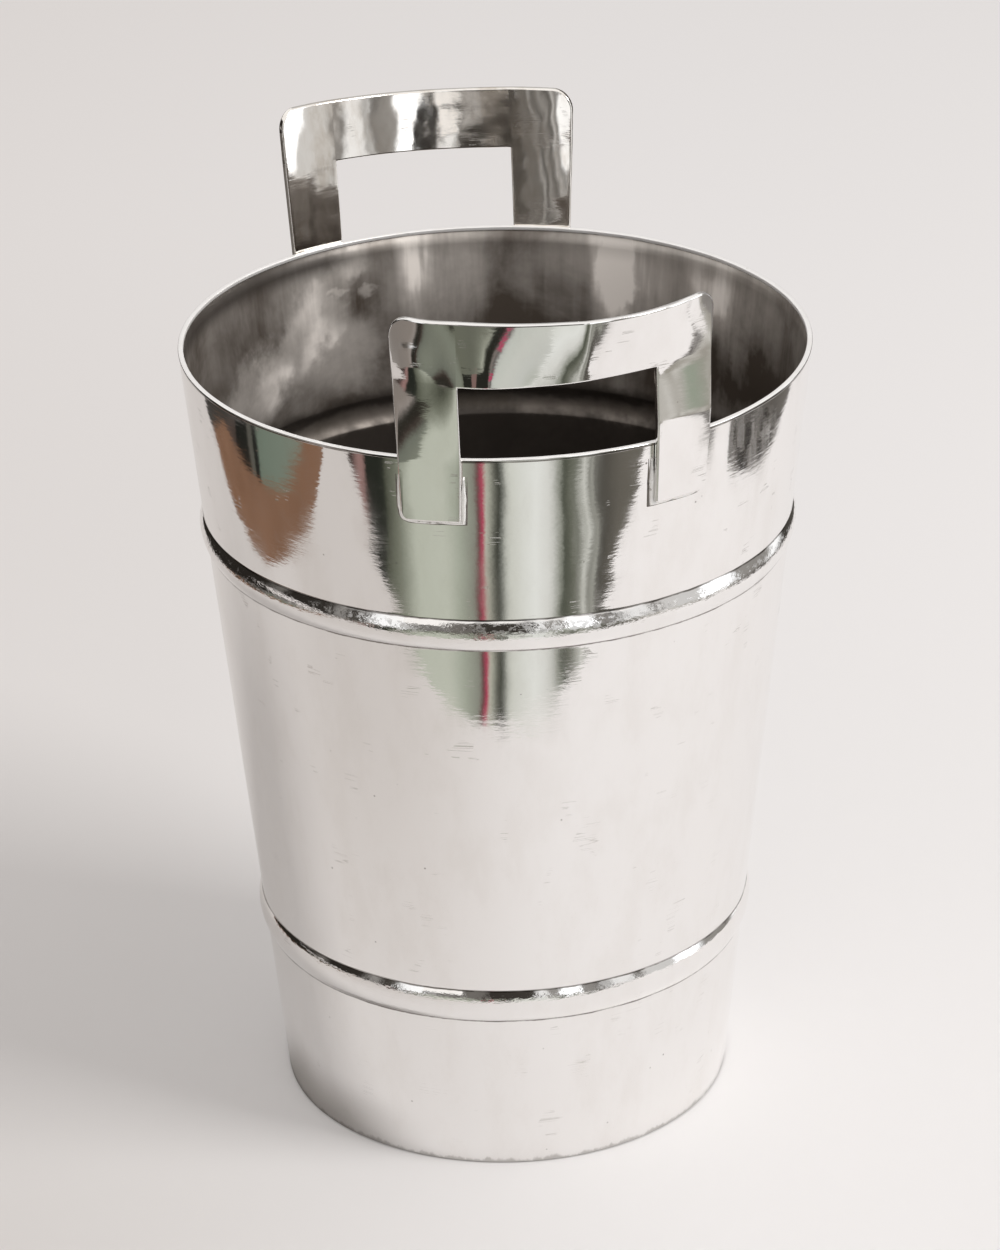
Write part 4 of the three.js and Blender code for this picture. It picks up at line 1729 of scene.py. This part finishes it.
@dataclass(frozen=True)
class AirFinish:
    """An even pale light all round. Polished metal sees a dim room with bright openings in its place."""

    colour: Colour = (0.79, 0.765, 0.75)
    strength: float = 0.92
    corner: float = 41.0
    horizon: tuple[float, float] = (-0.34, -0.31)
    ceiling: Colour = (0.97, 0.95, 0.93)
    ceiling_foot: tuple[float, float] = (0.36, 0.46)
    opening: Colour = (1.0, 0.97, 0.94)
    opening_sides: tuple[float, float] = (-36.5, -20)
    opening_foot: tuple[float, float] = (0.12, 0.16)
    smear: float = 0.008
    low_dark: Colour = (0.02, 0.02, 0.016)
    low_sides: tuple[float, float] = (-24, -6.5)
    low_top: tuple[float, float] = (-0.39, -0.38)
    low_brown: Colour = (0.2, 0.13, 0.115)
    brown_sides: tuple[float, float] = (-16.5, -13)
    spot: Colour = (0.42, 0.06, 0.12)
    spot_sides: tuple[float, float] = (-4.8, -2.2)
    spot_middle: float = -0.421
    spot_reach: tuple[float, float] = (0.01, 0.016)
    mottle_dark: Colour = (0.34, 0.32, 0.28)
    mottle_light: Colour = (0.58, 0.56, 0.52)
    mottle_sides: tuple[float, float] = (52, 100)
    green: Colour = (0.3, 0.34, 0.27)
    green_middle: float = -0.425
    green_reach: float = 0.045

    def high_room(self, graph: NodeGraph, direction: Value, height: Value,
                  share: Value) -> bpy.types.NodeSocket:
        """Draws upright stripes by bearing, left and right of a dark corner, under a pale ceiling.

        Args:
            graph: The world's graph.
            direction: The direction that is seen.
            height: How steeply it rises.
            share: Its bearing from 0 to 1.

        Returns:
            The colour's socket.
        """
        left = (
            (-180, 0.5), (-152, 0.1), (-148, 0.02), (-96, 0.02), (-88, 0.16), (-84, 0.02), (-66, 0.03),
            (-60, 0.3), (-55, 0.04), (-50, 0.1), (-46, 1.0), (-36, 1.1), (-34.5, 0.1), (-31, 0.5),
            (-29, 0.06), (-25, 0.3), (-22, 0.05), (-20, 0.4), (-18, 0.1), (-16, 0.17), (-9, 0.14),
            (-7, 0.035), (12, 0.05), (13.5, 0.9), (17, 0.85), (18, 0.28), (23.5, 0.3), (25, 1.5),
            (33.5, 1.5), (35, 0.28), (41, 0.25),
        )
        right = (
            (41, 0.25), (42.5, 0.05), (44, 0.9), (45.5, 0.1), (47, 0.85), (57, 0.9), (58.5, 0.15),
            (61, 0.2), (62.5, 0.66), (79, 0.62), (82, 1.9), (92, 1.9), (98, 0.3), (118, 0.26),
            (122, 1.1), (128, 1.0), (132, 0.05), (160, 0.1), (180, 0.5),
        )
        past_corner = graph.math("GREATER_THAN", share, 0.5 + self.corner / 360)
        halves = []
        for half in (left, right):
            colours = [(angle, (level, level**1.04, level**1.09)) for angle, level in half]
            halves.append(graph.ramp(share, around(colours)))
        stripes = graph.mix(past_corner, *halves)
        wobble = graph.noise(graph.mapping(direction, (9, 9, 3)), 1.0, 3.0)
        ceiling = graph.math("MULTIPLY_ADD", wobble, 0.2, graph.math("ADD", height, -0.1))
        room = graph.mix(graph.remap(ceiling, *self.ceiling_foot, 0.0, 1.0), stripes, self.ceiling)
        opening = graph.math("MULTIPLY", between(graph, share, *self.opening_sides),
                             graph.remap(height, *self.opening_foot, 0.0, 1.0))
        return graph.mix(opening, room, self.opening)

    def low_room(self, graph: NodeGraph, direction: Value, height: Value,
                 share: Value) -> bpy.types.NodeSocket:
        """Draws softer stripes that lie lower than the horizon.

        Args:
            graph: The world's graph.
            direction: The direction that is seen.
            height: How steeply it rises.
            share: Its bearing from 0 to 1.

        Returns:
            The colour's socket.
        """
        smears = graph.noise(graph.mapping(direction, (14, 14, 30)), 1.0, 3.0, 0.6)
        bent = graph.math("MULTIPLY_ADD", smears, self.smear, graph.math("ADD", share, -self.smear / 2))
        stripes = graph.ramp(bent, around([
            (-120, (0.05, 0.045, 0.04)), (-75, (0.3, 0.28, 0.26)), (-62, (0.22, 0.195, 0.175)),
            (-50, (0.24, 0.21, 0.185)), (-46, (0.31, 0.275, 0.25)), (-44.5, (0.02, 0.02, 0.015)),
            (-40.5, (0.03, 0.025, 0.02)), (-39, (0.06, 0.045, 0.038)), (-37, (0.15, 0.16, 0.13)),
            (-32, (0.19, 0.2, 0.16)), (-27, (0.21, 0.225, 0.18)), (-24, (0.14, 0.145, 0.11)),
            (-16, (0.13, 0.135, 0.105)), (-12, (0.2, 0.21, 0.165)), (-9.8, (0.38, 0.39, 0.32)),
            (-8.8, (0.02, 0.02, 0.015)), (-5.2, (0.02, 0.02, 0.015)), (-4.6, (0.22, 0.2, 0.18)),
            (-3.6, (0.2, 0.17, 0.155)), (-2.9, (0.06, 0.05, 0.045)), (-2.2, (0.45, 0.45, 0.42)),
            (-0.8, (0.54, 0.56, 0.51)), (6, (0.58, 0.59, 0.54)), (14, (0.55, 0.56, 0.52)),
            (21, (0.42, 0.44, 0.38)), (28, (0.38, 0.39, 0.34)), (36, (0.12, 0.12, 0.1)),
            (48, (0.26, 0.25, 0.22)), (60, (0.44, 0.43, 0.4)), (90, (0.36, 0.34, 0.32)),
            (120, (0.1, 0.09, 0.08)), (170, (0.3, 0.28, 0.26)),
        ]))
        low = graph.math("MULTIPLY", between(graph, share, *self.low_sides),
                         graph.remap(height, *self.low_top, 1.0, 0.0))
        shade = graph.mix(between(graph, share, *self.brown_sides), self.low_dark, self.low_brown)
        stripes = graph.mix(low, stripes, shade)
        from_spot = graph.math("ABSOLUTE", graph.math("SUBTRACT", height, self.spot_middle))
        at_spot = graph.math("MULTIPLY", between(graph, share, *self.spot_sides),
                             graph.remap(from_spot, *self.spot_reach, 1.0, 0.0))
        stripes = graph.mix(at_spot, stripes, self.spot)
        mottled = self.mottled(graph, direction, height, bent)
        return graph.mix(between(graph, share, *self.mottle_sides), stripes, mottled)

    def mottled(self, graph: NodeGraph, direction: Value, height: Value,
                bent: Value) -> bpy.types.NodeSocket:
        """Draws a mottled patch with a soft green middle.

        Args:
            graph: The world's graph.
            direction: The direction that is seen.
            height: How steeply it rises.
            bent: Its bearing from 0 to 1, with a waver.

        Returns:
            The colour's socket.
        """
        patches = graph.noise(graph.mapping(direction, (9, 9, 12)), 1.0, 1.0, 0.5)
        patches = graph.remap(patches, 0.3, 0.7, 0.0, 1.0)
        mottled = graph.mix(patches, self.mottle_dark, self.mottle_light)
        off, full = (0.0, 0.0, 0.0), (1.0, 1.0, 1.0)
        across = graph.ramp(bent, around([(70, off), (75, full), (77, full), (83, off)]))
        from_green = graph.math("ABSOLUTE", graph.math("SUBTRACT", height, self.green_middle))
        green = graph.math("MULTIPLY", across, graph.remap(from_green, 0.0, self.green_reach, 1.0, 0.0))
        return graph.mix(green, mottled, self.green)

    def dress(self, world: bpy.types.World) -> None:
        """Builds the world's light and what polished metal sees of it.

        Args:
            world: The world.
        """
        world.use_nodes = True
        graph = NodeGraph(world.node_tree)
        direction = graph.add("TexCoord").outputs["Generated"]
        _, _, height, share = bearing(graph, direction)
        room = graph.mix(graph.remap(height, *self.horizon, 1.0, 0.0),
                         self.high_room(graph, direction, height, share),
                         self.low_room(graph, direction, height, share))
        path = graph.add("LightPath")
        plain, seen, mirrored = (graph.add("Background") for _ in range(3))
        graph.feed(plain.inputs["Color"], self.colour)
        graph.feed(plain.inputs["Strength"], self.strength)
        graph.feed(seen.inputs["Color"], self.colour)
        graph.feed(mirrored.inputs["Color"], room)
        surface = graph.blend_shaders(path.outputs["Is Glossy Ray"], plain.outputs[0], mirrored.outputs[0])
        surface = graph.blend_shaders(path.outputs["Is Camera Ray"], surface, seen.outputs[0])
        output = graph.add("OutputWorld")
        graph.feed(output.inputs["Surface"], surface)


@dataclass
class Studio:
    """The pale floor, the soft light, what the silver mirrors, and the camera."""

    azimuth: float = VIEW_AZIMUTH
    elevation: float = math.radians(25.3457)
    roll: float = math.radians(-0.9888)
    distance: float = 1490.19 * MM
    aim_height: float = 161.32 * MM
    lens: float = 129.71
    sensor: float = 36.0
    floor_size: float = 14.0
    floor_drop: float = 0.1 * MM
    lamp_bearing: float = math.radians(67)
    lamp_elevation: float = math.radians(44)
    lamp_distance: float = 3.0
    lamp_size: float = 1.1
    lamp_power: float = 42.0
    lamp_colour: Colour = (1.0, 0.985, 0.97)
    lamp_aim: float = 120 * MM
    floor: FloorFinish = field(default_factory=FloorFinish)
    air: AirFinish = field(default_factory=AirFinish)

    def towards(self, azimuth: float, elevation: float) -> Vector:
        """Returns the direction from the bucket at an azimuth and an elevation."""
        flat = math.cos(elevation)
        return Vector((math.sin(azimuth) * flat, -math.cos(azimuth) * flat, math.sin(elevation)))

    def add_camera(self) -> None:
        """Adds the camera at the fitted viewpoint."""
        back = self.towards(self.azimuth, self.elevation)
        side = Vector((math.cos(self.azimuth), math.sin(self.azimuth), 0.0))
        right = side * math.cos(self.roll) + back.cross(side) * math.sin(self.roll)
        above = back.cross(right)
        place = back * self.distance + Vector((0.0, 0.0, self.aim_height))
        data = bpy.data.cameras.new("viewpoint")
        data.lens = self.lens
        data.sensor_width = self.sensor
        data.sensor_fit = "AUTO"
        camera = bpy.data.objects.new("viewpoint", data)
        bpy.context.scene.collection.objects.link(camera)
        turn = Matrix((right, above, back)).transposed().to_4x4()
        camera.matrix_world = Matrix.Translation(place) @ turn
        bpy.context.scene.camera = camera

    def add_floor(self) -> None:
        """Adds the pale floor, just under the table's height."""
        bm = bmesh.new()
        bmesh.ops.create_grid(bm, x_segments=1, y_segments=1, size=self.floor_size / 2)
        bmesh.ops.translate(bm, verts=bm.verts, vec=(0, 0, -self.floor_drop))
        mesh = bpy.data.meshes.new("studio_floor")
        bm.to_mesh(mesh)
        bm.free()
        mesh.materials.append(self.floor.material())
        floor = bpy.data.objects.new("studio_floor", mesh)
        bpy.context.scene.collection.objects.link(floor)

    def add_lamp(self) -> None:
        """Adds a large soft lamp that faces the bucket from the right."""
        data = bpy.data.lights.new("window_light", "AREA")
        data.size = self.lamp_size
        data.energy = self.lamp_power
        data.color = self.lamp_colour
        lamp = bpy.data.objects.new("window_light", data)
        bpy.context.scene.collection.objects.link(lamp)
        way = self.towards(self.azimuth + self.lamp_bearing, self.lamp_elevation)
        lamp.location = way * self.lamp_distance + Vector((0, 0, self.lamp_aim))
        lamp.rotation_euler = way.to_track_quat("Z", "Y").to_euler()

    def build(self) -> None:
        """Builds the whole studio."""
        self.add_camera()
        self.add_floor()
        bpy.context.scene.world = bpy.data.worlds.new("studio_air")
        self.air.dress(bpy.context.scene.world)
        self.add_lamp()
        bpy.context.scene.view_settings.view_transform = "Standard"


def in_mm(*lengths: float) -> tuple[float, ...]:
    """Returns lengths that are given in millimetres."""
    return tuple(length * MM for length in lengths)


FRONT_TWIST = Twist(
    places=in_mm(-52, -47, -42, -37, -30, -22, -14, -6, 2, 7.5, 10, 17, 25, 31, 38, 46, 52),
    at_top=in_mm(-3.6, -3.0, -2.5, -2.4, -2.5, -2.4, -2.0, -1.5, -0.65, 0.3, 0.35, 0.65, 0.8, 0.5, -0.5, -1.1,
                 -1.7),
    at_under=in_mm(-2.4, -1.9, -1.3, -0.6, 0.8, 1.2, 0.7, 0.0, -0.3, -0.75, -1.1, -1.7, -2.0, -1.9, -1.9,
                   -1.8, -1.6),
    bends=in_mm(0, 0, 0, 0, 0, 0, 0, 0, 0, 1, 2, 6, 7.5, 7.5, 8, 8.5, 9),
    stretch=0.7 * MM,
    dents=(Dent(-45.5 * MM, 296.5 * MM, 7 * MM, 0.85 * MM),),
)


BACK_TWIST = Twist(
    places=in_mm(-52, -46, -38, -31, -22, -8, 8, 22, 34, 42, 52),
    at_top=in_mm(0.5, 0.9, 1.0, 0.8, 0.3, 0.0, 0.0, 0.1, 0.2, 0.0, -0.4),
    at_under=in_mm(1.1, 1.5, 1.5, 1.2, 0.4, 0.0, 0.0, 0.0, -0.1, 0.0, 0.0),
    bends=(0.0,) * 11,
)


WORN_HANDLE = SilverFinish(
    "worn_silver_handle", bright=(0.95, 0.92, 0.88), worn=(0.76, 0.7, 0.63), roughness=0.06, haze=0.1,
    ripple_length=11 * MM, ripple_depth=0.3 * MM)


def main() -> None:
    """Builds the studio and every piece of the bucket."""
    logging.basicConfig(level=logging.INFO, format="%(name)s: %(message)s")
    Studio().build()
    wall = BodyWall()
    wall.build()
    RimBead(wall).build()
    floor = FloorPan(wall)
    floor.build_pan()
    floor.build_seam()
    StrapHandle(wall, "front", turn=0.0, bow=3.4 * MM, push=-1.5 * MM, tilt=math.radians(0.48),
                lift=0.5 * MM, twist=FRONT_TWIST).build()
    StrapHandle(wall, "back", turn=math.radians(182.1), bow=2.6 * MM, push=0.1 * MM, tilt=math.radians(1.19),
                lift=0.55 * MM, twist=BACK_TWIST, finish=WORN_HANDLE).build()


if __name__ == "__main__":
    main()
